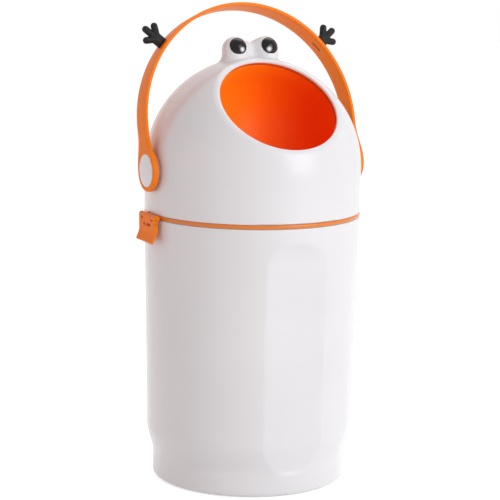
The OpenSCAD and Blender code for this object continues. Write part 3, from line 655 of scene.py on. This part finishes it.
boss = rounded_profile([(BOSS_BORE, BOSS_IN), (BOSS_BORE, BOSS_OUT), (BOSS_R, BOSS_OUT), (BOSS_R, BOSS_IN)],
                       0.3)
hub_bosses = [(turned(boss, PIVOT, (s, 0, 0), AROUND[::3]), True) for s in (-1, 1)]
solid("ball_shell", [(turned(ball_profile(), PIVOT, MOUTH_DIR), True)] + hub_bosses,
      "drum", ["drum_shell"], "orange_plastic")
solid("bowl", [turned(bowl_profile(), PIVOT, MOUTH_DIR)], "drum", ["drum_bowl"], "orange_plastic", BOWL_PP)

# %% [markdown]
# Flat moulded parts such as the latch are slabs with rounded edges. A slab is an outline with rings
# nested inside it: out over the front face, round the edge and back over the rear face. One moulding is
# often made of several shells that overlap. Where two of them would share a plane, one is sunk a hair's
# breadth below the other, because faces in one plane flicker in a render.

# %% Slabs
SUNK = 0.02


def evened(loop, longest=1.5):
    """Adds points on the outline's long edges, so that no edge is longer than the given length."""
    edge = np.roll(loop, -1, 0) - loop
    parts = np.maximum(1, np.ceil(np.linalg.norm(edge, axis=1) / longest)).astype(int)
    part = np.arange(parts.sum()) - np.repeat(np.cumsum(parts) - parts, parts)
    return np.repeat(loop, parts, 0) + np.repeat(edge, parts, 0) * (part / np.repeat(parts, parts))[:, None]


def rounded_rect(half_a, half_b, radius, steps=6):
    """Closed outline of a rectangle with rounded corners, with extra points along its sides."""
    loop = [(half_a, -half_b), (half_a, half_b), (-half_a, half_b), (-half_a, -half_b)]
    return evened(rounded_profile(loop, radius, steps))


def outward(loop):
    """Unit normals of a closed counter-clockwise outline, from its neighbouring points."""
    ahead = np.roll(loop, -1, 0) - np.roll(loop, 1, 0)
    normal = np.stack([ahead[:, 1], -ahead[:, 0]], 1)
    return normal / np.maximum(np.linalg.norm(normal, axis=1), 1e-9)[:, None]


def level(rows, depths):
    """(a, b, depth) rows from (a, b) rows and a depth for each."""
    depths = np.broadcast_to(np.array(depths)[:, None], rows.shape[:2])
    return np.concatenate([rows, depths[..., None]], -1)


def slab(loop, thickness, edge, window=None, rings=6):
    """(a, b, depth) grid of a slab. With a window, the rings run between two outlines and wrap."""
    t = np.radians(np.linspace(0, 90, 5))
    inset = np.concatenate([edge * (1 - np.sin(t)), edge * (1 - np.sin(t[::-1]))])
    depth = np.concatenate([edge * (1 - np.cos(t)), thickness - edge * (1 - np.cos(t[::-1]))])
    rim = loop - inset[:, None, None] * outward(loop)
    inner = (np.broadcast_to(loop.mean(0), loop.shape)[None] if window is None
             else window + inset[::-1][:, None, None] * outward(window))
    start, end = inner[-1], inner[0]
    mix = np.linspace(0, 1, rings)[1:-1, None, None]
    front, rear = start + (rim[0] - start) * mix, rim[-1] + (end - rim[-1]) * mix
    parts = [level(front, np.zeros(rings - 2)), level(rim, depth),
             level(rear, np.full(rings - 2, thickness))]
    if window is None:
        return np.concatenate([level(inner, [0.0]), *parts, level(inner, [thickness])])
    return np.concatenate([*parts, level(inner, depth[::-1])])


print("a slab of 20 by 10 mm has", slab(rounded_rect(10, 5, 1), 3, 0.5).shape[:2], "points")

# %% [markdown]
# The handle is one moulding: a flat band bent into an arch, which spreads into a round paddle at each
# end. A band is a rounded rectangle carried along the arch, and a paddle is turned. The band's lower ends
# lie inside the paddles' thickness, all but flush with their faces, so the joint doesn't show. The handle
# leans back a little at rest, so it is worked out upright and then turned about the pivot.

# %% Handle
LEAN = np.radians(15.7)
ARCH_A, SPRING, ARCH_B = corners("handle")[1][0], 47.6, 134.0
BAND_T, NECK_H, BAND_HALF, GRIP_HALF = 3.7, 40.0, 12.65, 14.25
BAND_START, BAND_EDGE = 4.0, 1.3                    # height of the band's ends, and its corners
STRAIGHT_ROWS = 39                                  # rows from each end up to the arch
PADDLE_R, PADDLE_IN, SEAT_X, CAP_R = 23.0, 122.2, ARCH_A - 3.0, 18.0
SQUARE_HALF = 4.55                                  # the hub's square end, with its clearance


def leaned(p):
    """Turns points given relative to the pivot by the handle's lean, about the X axis."""
    x, y, z = p[..., 0], p[..., 1], p[..., 2]
    c, s = np.cos(LEAN), np.sin(LEAN)
    return PIVOT + np.stack([x, y * c + z * s, z * c - y * s], -1)


def band_half(u):
    """Half of the band's width: a smooth step out of the paddle, then slowly wider to the grip."""
    neck = BAND_HALF + (PADDLE_R - BAND_HALF) * (1 - smooth_step(u / NECK_H))
    grip = BAND_HALF + (GRIP_HALF - BAND_HALF) * (u - NECK_H) / (SPRING + ARCH_B - NECK_H)
    return np.where(u < NECK_H, neck, grip)


def band():
    """Rounded sections along the arch: straight up from each paddle, then half an ellipse."""
    a = np.radians(np.linspace(0, 180, 181))
    rise, side = np.linspace(BAND_START, SPRING, STRAIGHT_ROWS + 1)[:-1], np.full(STRAIGHT_ROWS, ARCH_A)
    x = np.concatenate([side, ARCH_A * np.cos(a), -side])
    u = np.concatenate([rise, SPRING + ARCH_B * np.sin(a), rise[::-1]])
    slope = np.stack([np.cos(a) / ARCH_A, np.sin(a) / ARCH_B], 1)
    slope /= np.linalg.norm(slope, axis=1)[:, None]
    upright = np.tile([1.0, 0.0], (STRAIGHT_ROWS, 1))
    normal = np.concatenate([upright, slope, -upright])
    half = 20.0     # a stand-in for half the width: each row then moves the corners to its own
    corner = rounded_profile([(half, -SUNK), (half, -BAND_T), (-half, -BAND_T), (-half, -SUNK)],
                             BAND_EDGE, 6)
    across, depth = np.sign(corner[:, 0]), corner[:, 1]
    inset = half - np.abs(corner[:, 0])
    w = across * (band_half(u)[:, None] - inset)
    rows = np.stack([x[:, None] + normal[:, :1] * depth, w, u[:, None] + normal[:, 1:] * depth], -1)
    ends = [rows[k].mean(0) + 0 * rows[k] for k in (0, -1)]
    return np.concatenate([ends[:1], rows, ends[1:]])


def paddle(side):
    """Turned about the pivot's axis. The innermost rows follow the hub's square instead of a circle."""
    rim = [(CAP_R + 0.05, SEAT_X), (CAP_R + 0.05, ARCH_A - 0.55), (CAP_R + 0.2, ARCH_A - 0.2),
           (CAP_R + 0.6, ARCH_A - 0.03), (CAP_R + 1.0, ARCH_A), (PADDLE_R - 1.8, ARCH_A)]
    edge = arc((PADDLE_R - 1.5, ARCH_A - 1.5), 1.5, 85, 0, 8)
    back = arc((PADDLE_R - 1.0, PADDLE_IN + 1.0), 1.0, 0, -90, 5)
    profile = np.concatenate([[(1, PADDLE_IN), (1, SEAT_X)], rim, edge, back])
    rows = turned(profile, (0, 0, 0), (1, 0, 0))
    square = SQUARE_HALF / np.maximum(np.abs(np.cos(AROUND)), np.abs(np.sin(AROUND)))
    rows[:2, :, 1:] *= square[:, None]
    rows[..., 0] *= side
    return rows


solid("handle_arch", [leaned(band())] + [(leaned(paddle(s)), True) for s in (-1, 1)],
      "drum", ["handle"], "orange_plastic")

# %% [markdown]
# A cap closes each paddle. It is a thin disc with a slightly domed face, and its edge is rounded, so that
# a fine dark line runs around it where it meets the handle.

# %% Caps
CROWN = corners("cap_right")[1][0] - ARCH_A


def cap_profile():
    """Domed face from the middle out, a soft edge, then the hollow back with its thin rim."""
    t = np.linspace(0, 1, 16)[:-1] * (CAP_R - 0.7)
    face = np.stack([t, ARCH_A + CROWN * (1 - (t / CAP_R) ** 2)], 1)
    low = face[-1, 1] - 0.12
    edge = np.array([(CAP_R - 0.5, low), (CAP_R - 0.2, low - 0.18), (CAP_R - 0.03, low - 0.5)])
    back = [(CAP_R - 0.03, SEAT_X + 0.3), (CAP_R - 0.3, SEAT_X + 0.06), (CAP_R - 1.6, SEAT_X + 0.06),
            (CAP_R - 1.6, SEAT_X + 1.8), (0, SEAT_X + 1.8)]
    return np.concatenate([face, edge, back])


for side, name in ((-1, "left"), (1, "right")):
    cap = turned(cap_profile(), (0, 0, 0), (1, 0, 0))
    cap[..., 0] *= side
    solid("cap_disc_" + name, [leaned(cap)], "drum", ["cap_" + name], "white_shell")

# %% [markdown]
# Each hand is a soft rubber casting with three round-tipped fingers on a short wrist. Real ones have no
# seam between the fingers. So capsules are laid through each other and a voxel remesh melts them into one
# skin, and a little smoothing leaves the web between the fingers soft.

# %% Hands
FINGER_R, PALM, PALM_HALF = 3.9, 10.0, 2.2
FINGERS = [(-PALM_HALF, -9.5, 19.0), (0, 0, 24.5), (PALM_HALF, 9.5, 16.5)]      # root; tip along and up
HAND_AT = {-1: np.radians(43.0), 1: np.radians(40.5)}           # place on the arch, left and right
TAB_HALF, TAB_T, TAB_END, TAB_RISE, TAB_EDGE = 6.8, 2.0, 0.4, 1.5, 0.3
# The wrist's sections: height, half width along the handle and half depth across it
WRIST = np.array([(0.1, 0, 0), (0.1, 6.3, 3.4), (0.5, 6.8, 3.8), (1.5, 6.85, 3.9), (3.5, 6.7, 4.0),
                  (6.0, 6.6, 4.2), (8.0, 6.6, 4.4), (10.0, 6.6, 4.4), (11.5, 6.2, 4.2), (12.8, 5.2, 3.5),
                  (13.8, 3.6, 2.5), (14.2, 1.6, 1.1), (14.3, 0, 0)])
SQUARENESS = (0.75, 0.9)        # powers below 1 make the sections squarer than an ellipse
VOXEL_MM = 0.45                 # fine enough to keep the round fingertips, coarse enough to melt the webs


def capsule(start, end, radius):
    """A rod with ball ends: circles along its axis, whose radius follows the two balls."""
    start, end = np.array(start, float), np.array(end, float)
    length = np.linalg.norm(end - start)
    low, high = arc((0, 0), radius, -90, 0, 9), arc((0, length), radius, 0, 90, 9)
    return turned(np.concatenate([low, high]), start, end - start, AROUND[::6])


def hand_shells():
    """Fingers, a flattened wrist and the tab that sits in the handle, in the hand's own frame."""
    fingers = [capsule((root, 0, PALM), (x, 0, z), FINGER_R) for root, x, z in FINGERS]
    waves = [np.cos(AROUND[::4]), np.sin(AROUND[::4])]
    x, y = (np.sign(wave) * np.abs(wave) ** power for wave, power in zip(waves, SQUARENESS))
    wrist = np.stack([WRIST[:, 1:2] * x, WRIST[:, 2:] * y, WRIST[:, :1] + 0 * x], -1)
    grid = slab(rounded_rect(TAB_HALF, TAB_T / 2, TAB_EDGE), BAND_T + TAB_END + TAB_RISE, TAB_EDGE)
    tab = np.stack([grid[..., 0], grid[..., 1], TAB_RISE - grid[..., 2]], -1)
    return fingers + [wrist, tab]


def at_hand(p, side):
    """From the hand's frame (x along the handle, z away from it) to the handle's place and lean."""
    angle = HAND_AT[side]
    normal = np.array([np.cos(angle) / ARCH_A, np.sin(angle) / ARCH_B])
    normal /= np.linalg.norm(normal)
    base = np.array([ARCH_A * np.cos(angle), SPRING + ARCH_B * np.sin(angle)])
    x = base[0] + p[..., 0] * normal[1] + p[..., 2] * normal[0]
    u = base[1] - p[..., 0] * normal[0] + p[..., 2] * normal[1]
    return leaned(np.stack([side * x, p[..., 1], u], -1))


for side, name in ((-1, "left"), (1, "right")):
    shells = [at_hand(shell, side) for shell in hand_shells()]
    hand = solid("hand_rubber_" + name, shells, "drum", ["hand_" + name], "black_hands")
    melt = hand.modifiers.new("one skin", "REMESH")
    melt.mode, melt.voxel_size, melt.use_smooth_shade = "VOXEL", VOXEL_MM * MM, True
    soft = hand.modifiers.new("soft webs", "SMOOTH")
    soft.factor, soft.iterations = 0.5, 8

# %% [markdown]
# The eyes are polished black lenses pressed into the bumps. Each is a shallow cap of a ball, and its gloss
# is what makes it read as an eye: it mirrors the lamps as small bright spots. A soft pale dot low on the
# inner side of each lens is a painted highlight, a reflection fixed in the colour, so the pair keeps it from
# any side, whatever the lamps do.

# %% Eyes
EYE_R, EYE_BULGE, EYE_LIFT, EYE_SEAT = 9.8, 4.8, 0.35, 1.95
EYE_TILT, EYE_SPLAY = np.radians(26), np.radians(4)
EYE_PLANE = np.sqrt(BUMP_R ** 2 - EYE_R ** 2)           # where the bump is as wide as the lens
LENS_R = (EYE_R ** 2 + EYE_BULGE ** 2) / (2 * EYE_BULGE)        # of a ball whose cap is this wide and high
# The dots are painted highlights: pale reflections painted into each lens's colour.
DOT_OUT, DOT_IN, DOT_DOWN = 2.6, 3.4, 5.2               # out from the eye's plane, inwards, down the face
DOT_CORE, DOT_HALO = 0.6, 4.2                           # radii where the dot is full and where it ends
lens = arc((0, EYE_PLANE + EYE_LIFT + EYE_BULGE - LENS_R), LENS_R,
           np.degrees(np.arccos(EYE_R / LENS_R)), 90, 26)
lens_profile = np.concatenate([[(0, EYE_PLANE - EYE_SEAT), (EYE_R, EYE_PLANE - EYE_SEAT)], lens])
glint_centres = []
for side, name, bump in ((-1, "left", BUMPS[0]), (1, "right", BUMPS[1])):
    level_look = np.array([np.sin(EYE_SPLAY * side), -np.cos(EYE_SPLAY * side)]) * np.cos(EYE_TILT)
    look = np.array([*level_look, np.sin(EYE_TILT)])
    inward = np.cross(look, [0, 0, side])
    upward = np.cross(np.cross(look, [0, 0, 1.0]), look)
    glint_centres.append(bump + look * (EYE_PLANE + DOT_OUT) + inward * DOT_IN - upward * DOT_DOWN)
    solid("eye_lens_" + name, [turned(lens_profile, bump, look)], "lid", ["eye_" + name], "black_eyes")


def paint_glints(material, centres, core, halo, colour):
    """Soft round dots of painted highlight in the part's own place: the colour fades out from the core's
    radius to the halo's, in mm, as a smooth step of the distance to the nearest centre."""
    tree = material.node_tree
    where = add(tree, "TexCoord").outputs["Object"]
    near = [add(tree, "VectorMath", {"operation": "DISTANCE"}, [where, (centre * MM).tolist()])
            for centre in centres]
    closest = add(tree, "Math", {"operation": "MINIMUM"}, [n.outputs["Value"] for n in near])
    fade = add(tree, "MapRange", {"interpolation_type": "SMOOTHERSTEP", "From Min": core * MM,
                                  "From Max": halo * MM, "To Min": 1.0, "To Max": 0.0},
               Value=closest.outputs[0])
    tone = add(tree, "ValToRGB", {"stops": [(0.0, "#080708"), (1.0, colour)]}, Fac=fade.outputs["Result"])
    tree.links.new(tone.outputs["Color"], tree.nodes["Principled BSDF"].inputs["Base Color"])


# Paints the eyes' highlights into the black lens colour.
paint_glints(BLACK_PMMA, glint_centres, DOT_CORE, DOT_HALO, "#F4F2F2")

# %% [markdown]
# The latch is a flap on a pin under the lid ring: a plate with a window, which flares out at its lower
# edge for a fingertip. Its plate is a slab bent along a line, its pin runs in a round barrel, and two
# short cheeks stiffen it towards the bucket. Behind the window stands the nose of the bucket's catch.

# %% Latch's line
PIN = place("latch_flip")
LATCH_HALF, LATCH_T, BEND, DROP, FLARE = 22.0, 2.6, 17.5, 27.0, 3.9
BEND_OVER, PATH_END, PATH_STEPS = 5.0, 40.0, 400    # length of the bend, and how finely it is summed up
BARREL_R, BARREL_BORE, LUG_W, EAR_Y, EAR_GAP = 3.2, 1.25, 4.0, 13.7, 0.3
WINDOW_HALF, WINDOW_Z, WINDOW_R = (9.5, 2.75), 293.05, 1.0
CHEEK_T, CHEEK_D = 2.0, 1.6
print("the flap flares by", round(float(np.degrees(np.arctan2(FLARE, DROP - BEND))), 1), "degrees")


def bent(grid):
    """Bends (y, down, depth) points along the latch's line. The line's heading is a smooth step at the
    bend, and its place is the running sum of the heading's sine and cosine."""
    y, down, depth = grid[..., 0], grid[..., 1], grid[..., 2]
    angle = np.arctan2(FLARE, DROP - BEND)
    path, step = np.linspace(0, PATH_END, PATH_STEPS + 1, retstep=True)
    heading = angle * smooth_step((path - BEND) / BEND_OVER + 0.5)
    out = np.interp(down, path, np.cumsum(np.sin(heading)) * step)
    drop = np.interp(down, path, np.cumsum(np.cos(heading)) * step)
    turn = angle * smooth_step((down - BEND) / BEND_OVER + 0.5)
    x = BARREL_R + out - depth * np.cos(turn)
    return PIN + np.stack([-x, y, -drop - depth * np.sin(turn)], -1)


def around_window(outline, centre):
    """For each point of the outline, the point of the window's edge in the same direction."""
    window = rounded_rect(*WINDOW_HALF, WINDOW_R)
    angle = np.arctan2(window[:, 1], window[:, 0])
    order = np.argsort(angle)
    toward = np.arctan2(*(outline - centre).T[::-1])
    return centre + np.stack([np.interp(toward, angle[order], window[order, k], period=2 * np.pi)
                              for k in (0, 1)], 1)

# %% [markdown]
# The barrel runs along the pin in three parts, with the lid ring's ears between them. A short strip joins
# each part to the plate, so the ears can pass.

# %% Latch
STRIP_HALF = 3.6            # half the height of the strips between the plate and the barrel


def barrel_part(low, high):
    """The strip and the round barrel of one of the parts between the ears, from low to high."""
    strip = rounded_rect((high - low) / 2, STRIP_HALF, 0.5) + [(low + high) / 2, STRIP_HALF]
    barrel = rounded_profile([(BARREL_BORE, low), (BARREL_R, low), (BARREL_R, high), (BARREL_BORE, high)],
                             [0.1, 0.5, 0.5, 0.1])
    return [bent(slab(strip, LATCH_T - 2 * SUNK, 0.4) + [0, 0, SUNK]),
            (turned(barrel, PIN, (0, 1, 0), AROUND[::3]), True)]


def cheek(side):
    """A stiffener along the plate's edge: its outline in (depth, height) from the pin, across y."""
    inside = BARREL_R - LATCH_T
    outline = rounded_profile([
        (inside + 0.8, -BEND - 2), (inside + 0.3, -BARREL_R), (inside - CHEEK_D, -BARREL_R),
        (inside - CHEEK_D, -BEND + 1.5), (inside + 0.1, -BEND - 2)], 0.5)
    grid = slab(evened(outline, 0.8), CHEEK_T, 0.4)
    return PIN + np.stack([-grid[..., 0], side * (LATCH_HALF - SUNK - grid[..., 2]), grid[..., 1]], -1)


def latch_shells():
    """Plate with its window, strips up to the barrel's three parts, the barrel and two cheeks."""
    top, length = BARREL_R + EAR_GAP, DROP + 0.8        # bent, the plate is a little longer than its drop
    outline = rounded_rect(LATCH_HALF, (length - top) / 2, 1.6) + [0, (length + top) / 2]
    window = around_window(outline, np.array([0, PIN[2] - WINDOW_Z]))
    inner, outer = EAR_Y - LUG_W / 2 - EAR_GAP, EAR_Y + LUG_W / 2 + EAR_GAP
    return [(bent(slab(outline, LATCH_T, 0.8, window=window, rings=16)), True),
            *barrel_part(-LATCH_HALF, -outer), *barrel_part(-inner, inner), *barrel_part(outer, LATCH_HALF),
            cheek(-1), cheek(1)]

# %% [markdown]
# The catch is an orange insert in the bucket's left side, below the rim. Its pad is a thin slab that hugs
# the round wall, and its nose stands up behind the latch's window. The hinge's plate hugs the wall in the
# same way, so one function turns a slab's sideways measure into an angle around the body.

# %% Catch
NOSE_MARGIN, NOSE_BACK, NOSE_ROOT = 1.5, 2.0, 1.0       # within the window, behind the plate, in the wall
CATCH_HALF, CATCH_ALONG, CATCH_BELOW = (17.0, 4.6), 5.0, 5.6
CATCH_T, CATCH_PROUD = 2.2, 1.3


def hugging(grid, side, face_r, z):
    """Carries a slab's (along, up, depth) points round the body: depth runs inwards from the face's
    radius, and the angle is the distance along over the body's radius."""
    r, angle = face_r - grid[..., 2], grid[..., 0] / BODY_R
    return np.stack([side * r * np.cos(angle), r * np.sin(angle), z + grid[..., 1]], -1)


nose = slab(rounded_rect(WINDOW_HALF[0] - NOSE_MARGIN, WINDOW_HALF[1] - NOSE_MARGIN, 0.4),
            -PIN[0] + BARREL_R - LATCH_T - NOSE_BACK - BODY_R + NOSE_ROOT, 0.3)
nose = np.stack([-BODY_R + NOSE_ROOT - nose[..., 2], nose[..., 0], WINDOW_Z + nose[..., 1]], -1)
pad = slab(rounded_rect(*CATCH_HALF, 0.8) + [CATCH_ALONG, 0.0], CATCH_T, 0.4)
pad = hugging(pad, -1, BODY_R + CATCH_PROUD, RIM_Z - CATCH_BELOW)
solid("latch_catch", [nose, pad], "bin", [], "orange_plastic")
solid("latch_flap", latch_shells(), "latch", ["latch"], "orange_plastic")

# %% [markdown]
# The orange ring between the bucket and the dome carries the whole lid. It shows as a narrow band whose
# edges are as soft as a bead's, with a fine shadow line above and below. Ears on its left side hold the
# latch's pin, and a knuckle on its right side is the middle of the hinge. A thin skirt under it reaches
# into the bucket. Like the bowl, it has a finish of its own.

# %% Lid ring
HINGE = place("lid_hinge")
SKIRT_H, SKIRT_IN, SKIRT_OUT, RING_BORE = 5.0, 115.0, 116.6, 106.0
RING_LOW = corners("lid_ring")[0][2] + SKIRT_H
EAR_REACH, EAR_HALF, KNUCKLE_HALF, KNUCKLE_W = 10.0, 2.48, 2.4, 12.0


def keyhole(half_height):
    """Outline in (x, z) of an ear: a bar that ends in a round eye, with the pin at the origin."""
    start = np.degrees(np.arcsin(half_height / BARREL_R))
    eye = arc((0, 0), BARREL_R, start - 180, 180 - start, 40)
    return evened(np.concatenate([eye, [(-EAR_REACH, half_height), (-EAR_REACH, -half_height)]]))


def ear(side, pin, y_from, width, half_height):
    """A keyhole slab across the y direction, on the body's left or right side."""
    grid = slab(keyhole(half_height), width, 0.4)
    y = y_from + width - grid[..., 2] if side > 0 else y_from + grid[..., 2]
    return np.stack([pin[0] + side * grid[..., 0], y, pin[2] + grid[..., 1]], -1)


ring_profile = rounded_profile(
    [(RING_BORE, RING_LOW), (SKIRT_IN, RING_LOW), (SKIRT_IN, RING_LOW - SKIRT_H),
     (SKIRT_OUT, RING_LOW - SKIRT_H), (SKIRT_OUT, RING_LOW), (BODY_R, RING_LOW), (BODY_R, DOME_Z),
     (RING_BORE, DOME_Z)], [0.5, 0.2, 0.4, 0.4, 0.2, 1.6, 2.2, 0.5])
ears = [ear(-1, PIN, s * EAR_Y - LUG_W / 2, LUG_W, EAR_HALF) for s in (-1, 1)]
knuckle = ear(1, HINGE, -KNUCKLE_W / 2, KNUCKLE_W, KNUCKLE_HALF)
ring = turned(ring_profile, (0, 0, 0), (0, 0, 1), bucket_angles())
solid("lid_ring_moulding", [(ring, True), *ears, knuckle], "lid", ["lid_ring"], "orange_plastic", RING_PP)

# %% [markdown]
# The hinge bracket is a curved plate screwed to the bucket, with two posts that carry the pin. A sill
# between the posts fills the room below the knuckle.

# %% Hinge bracket
PLATE_HALF, PLATE_T, PLATE_PROUD = (18.0, 10.5), 3.4, 2.6
POST_W, POST_DROP = 11.7, 13.2
SILL_HALF, SILL_T, SILL_BELOW = (6.8, 3.65), 3.2, 6.85


def post(y_from):
    """A hinge post: an upright bar from the plate to the pin's eye, with a sloped foot."""
    eye = arc((0, 0), BARREL_R, -30, 210, 30)
    foot = [(-2.4, 0.4 - POST_DROP), (-2.0, -POST_DROP), (-0.6, -POST_DROP), (0.0, 0.6 - POST_DROP)]
    grid = slab(evened(np.concatenate([eye, foot]), 1.0), POST_W, 0.4)
    return np.stack([HINGE[0] + grid[..., 0], y_from + POST_W - grid[..., 2], HINGE[2] + grid[..., 1]], -1)


plate = hugging(slab(rounded_rect(*PLATE_HALF, 2.0), PLATE_T, 0.7), 1, BODY_R + PLATE_PROUD,
                RIM_Z - PLATE_HALF[1])
posts = [post(-PLATE_HALF[0]), post(PLATE_HALF[0] - POST_W)]
sill = slab(rounded_rect(*SILL_HALF, 0.4), SILL_T, 0.3)
sill = np.stack([HINGE[0] - sill[..., 2], sill[..., 0], RIM_Z - SILL_BELOW + sill[..., 1]], -1)
solid("hinge_bracket_moulding", [plate, *posts, sill], "bin", ["hinge_bracket"], "white_shell")

# %% [markdown]
# The bag ring lies inside the bucket, and the bag is folded out over its collar. In the CAD model small
# ledges carry its flange. They are out of sight below it, so they aren't made here.

# %% Bag ring
(_, _, BAG_LOW), (BAG_R, _, BAG_HIGH) = corners("bag_ring")
BAG_COLLAR, BAG_BORE = BAG_R - 8.0, BAG_R - 10.0
FLANGE_LOW, FLANGE_HIGH = BAG_LOW + 8.0, BAG_LOW + 10.5
bag_profile = rounded_profile(
    [(BAG_BORE, BAG_LOW), (BAG_COLLAR, BAG_LOW), (BAG_COLLAR, FLANGE_LOW), (BAG_R, FLANGE_LOW),
     (BAG_R, FLANGE_HIGH), (BAG_COLLAR, FLANGE_HIGH), (BAG_COLLAR, BAG_HIGH), (BAG_BORE, BAG_HIGH)],
    [0.6, 0.6, 0.4, 0.9, 0.9, 0.4, 0.9, 0.9])
solid("bag_ring_moulding", [(turned(bag_profile, (0, 0, 0), (0, 0, 1)), True)], "bin", ["bag_ring"],
      "orange_plastic")

# %% [markdown]
# The small parts inside keep their exact CAD meshes and get the finish of their material: turned acetal
# for hubs and bushes, soft rubber for the seals and feet, zinc plate for the screws and the hinge's pin.
# The latch's pin is moulded in orange.

# %% Finishes of the carried-over parts
KEPT = {"foot_pads": "grey_rubber", "lid_gasket": "grey_rubber", "mouth_seal": "orange_rubber",
        "bracket_screws": "steel", "hinge_pin": "steel", "ring_screws": "steel",
        "pivot_screws": "steel", "latch_pin": "orange_plastic", "bush_left": "grey_plastic",
        "bush_right": "grey_plastic", "hub_left": "grey_plastic", "hub_right": "grey_plastic"}
for node, slot in KEPT.items():
    made = bpy.data.objects[node]
    made.data.materials.clear()
    made.data.materials.append(FINISH[slot])
print(len(KEPT), "CAD parts kept as they are")

# %% [markdown]
# The bin stands on a plain pale floor. Where it is seen or mirrored the floor is lifted to white, as a
# sweep of paper under soft light would look, and it keeps the soft shadow around the foot.

# %% Floor
FLOOR_HALF, FLOOR_LIFT = 6.0, 0.6       # half of its side in metres, and its strength where it is seen


def seen_or_mirrored(tree):
    """1 for rays from the camera, from a mirroring surface or through a clear one, else 0."""
    path = add(tree, "LightPath").outputs
    direct = add(tree, "Math", {"operation": "MAXIMUM"}, [path["Is Camera Ray"], path["Is Glossy Ray"]])
    return add(tree, "Math", {"operation": "MAXIMUM"},
               [direct.outputs[0], path["Is Transmission Ray"]]).outputs[0]


floor_mesh = bpy.data.meshes.new("floor")
floor_corners = [(x * FLOOR_HALF, y * FLOOR_HALF, 0) for x, y in ((-1, -1), (1, -1), (1, 1), (-1, 1))]
floor_mesh.from_pydata(floor_corners, [], [(0, 1, 2, 3)])
floor = bpy.data.objects.new("floor", floor_mesh)
bpy.context.scene.collection.objects.link(floor)
paper, tree, shader = new_material("matt white paper")
for socket, value in {"Base Color": linear("#F2F2F2"), "Roughness": 0.9, "Specular IOR Level": 0.1,
                      "Emission Color": (1, 1, 1, 1)}.items():
    shader.inputs[socket].default_value = value
lift = add(tree, "Math", {"operation": "MULTIPLY"}, [seen_or_mirrored(tree), FLOOR_LIFT])
tree.links.new(lift.outputs[0], shader.inputs["Emission Strength"])
floor_mesh.materials.append(paper)
print("floor:", 2 * FLOOR_HALF, "m square")

# %% [markdown]
# The world is white where it is seen directly or mirrored. As a light it is only a moderate fill, weaker
# from overhead than from the sides, so that the lamps can shape the round body.

# %% World
FILL_LOW, FILL_TOP = 0.78, 0.40         # strength as a light near the horizon and overhead
HORIZON, OVERHEAD = -0.1, 0.9           # heights on the sky's unit ball between which it changes
world = bpy.data.worlds.new("studio")
bpy.context.scene.world = world
world.use_nodes = True
tree = world.node_tree
where = add(tree, "TexCoord").outputs["Generated"]
height = add(tree, "SeparateXYZ", Vector=where).outputs["Z"]
fill = add(tree, "MapRange", {"From Min": HORIZON, "From Max": OVERHEAD, "To Min": FILL_LOW,
                              "To Max": FILL_TOP}, Value=height)
strength = add(tree, "Mix", {"data_type": "FLOAT"},
               [seen_or_mirrored(tree), None, fill.outputs["Result"], 1.0])
background = tree.nodes["Background"]
background.inputs["Color"].default_value = (1, 1, 1, 1)
tree.links.new(strength.outputs[0], background.inputs["Strength"])
print("world as a light:", FILL_LOW, "at the sides,", FILL_TOP, "overhead")

# %% [markdown]
# The camera looks slightly down from the left of the front. A long lens keeps the upright sides nearly
# parallel. The lamps are placed in the camera's own directions: right, up and towards the camera.

# %% Camera
LENS, DISTANCE = 141.66, 2.2
YAW, PITCH, ROLL = np.radians(-25.665), np.radians(9.99), np.radians(0.892)
RIGHT = np.array([np.cos(YAW), np.sin(YAW), 0])
BACK = np.array([np.sin(YAW) * np.cos(PITCH), -np.cos(YAW) * np.cos(PITCH), np.sin(PITCH)])
AIM_HEIGHT, AIM_RIGHT = 0.25536, -0.001595
AIM = np.array([0, 0, AIM_HEIGHT]) + AIM_RIGHT * RIGHT
camera = bpy.data.objects.new("camera", bpy.data.cameras.new("camera"))
bpy.context.scene.collection.objects.link(camera)
camera.data.lens, camera.data.sensor_width = LENS, 36.0
camera.location = Vector(AIM + BACK * DISTANCE)
look = Vector(BACK).to_track_quat("Z", "Y")
camera.rotation_mode = "QUATERNION"
camera.rotation_quaternion = look @ Quaternion((0, 0, 1), ROLL)
bpy.context.scene.camera = camera
bpy.context.scene.view_settings.view_transform = "Standard"
print("camera at", np.round(camera.location, 3).tolist(), "with a", round(LENS), "mm lens")

# %% [markdown]
# One large soft lamp stands at the right and in front, and gives the body its slow fall of light from
# right to left. A weak warm one at the left keeps the shaded side from looking cold, and one above and
# behind lights the tops of the dome and the handle.

# %% Lamps
def lamp(name, right, back, up, size, watts, colour="#FFFFFF"):
    """A wide area lamp at a place given from the body's middle, turned towards it, in metres."""
    light = bpy.data.lights.new(name, "AREA")
    light.shape, light.energy = "RECTANGLE", watts
    light.size, light.size_y = size
    light.color = linear(colour)[:3]
    made = bpy.data.objects.new(name, light)
    bpy.context.scene.collection.objects.link(made)
    level_back = np.array([np.sin(YAW), -np.cos(YAW), 0])
    offset = right * RIGHT + back * level_back + up * np.array([0, 0, 1.0])
    made.location = Vector(AIM + offset)
    made.rotation_mode = "QUATERNION"
    made.rotation_quaternion = Vector(offset).to_track_quat("Z", "Y")


lamp("key lamp", 1.75, 1.41, 0.9, (1.3, 1.9), 27.4)
lamp("fill lamp", -1.9, 0.9, 0.2, (1.3, 1.6), 3.8, "#FFAE8C")
lamp("rear lamp", 0.3, -1.0, 1.7, (1.2, 1.2), 9)
print("lamps:", ", ".join(light.name for light in bpy.data.lights))
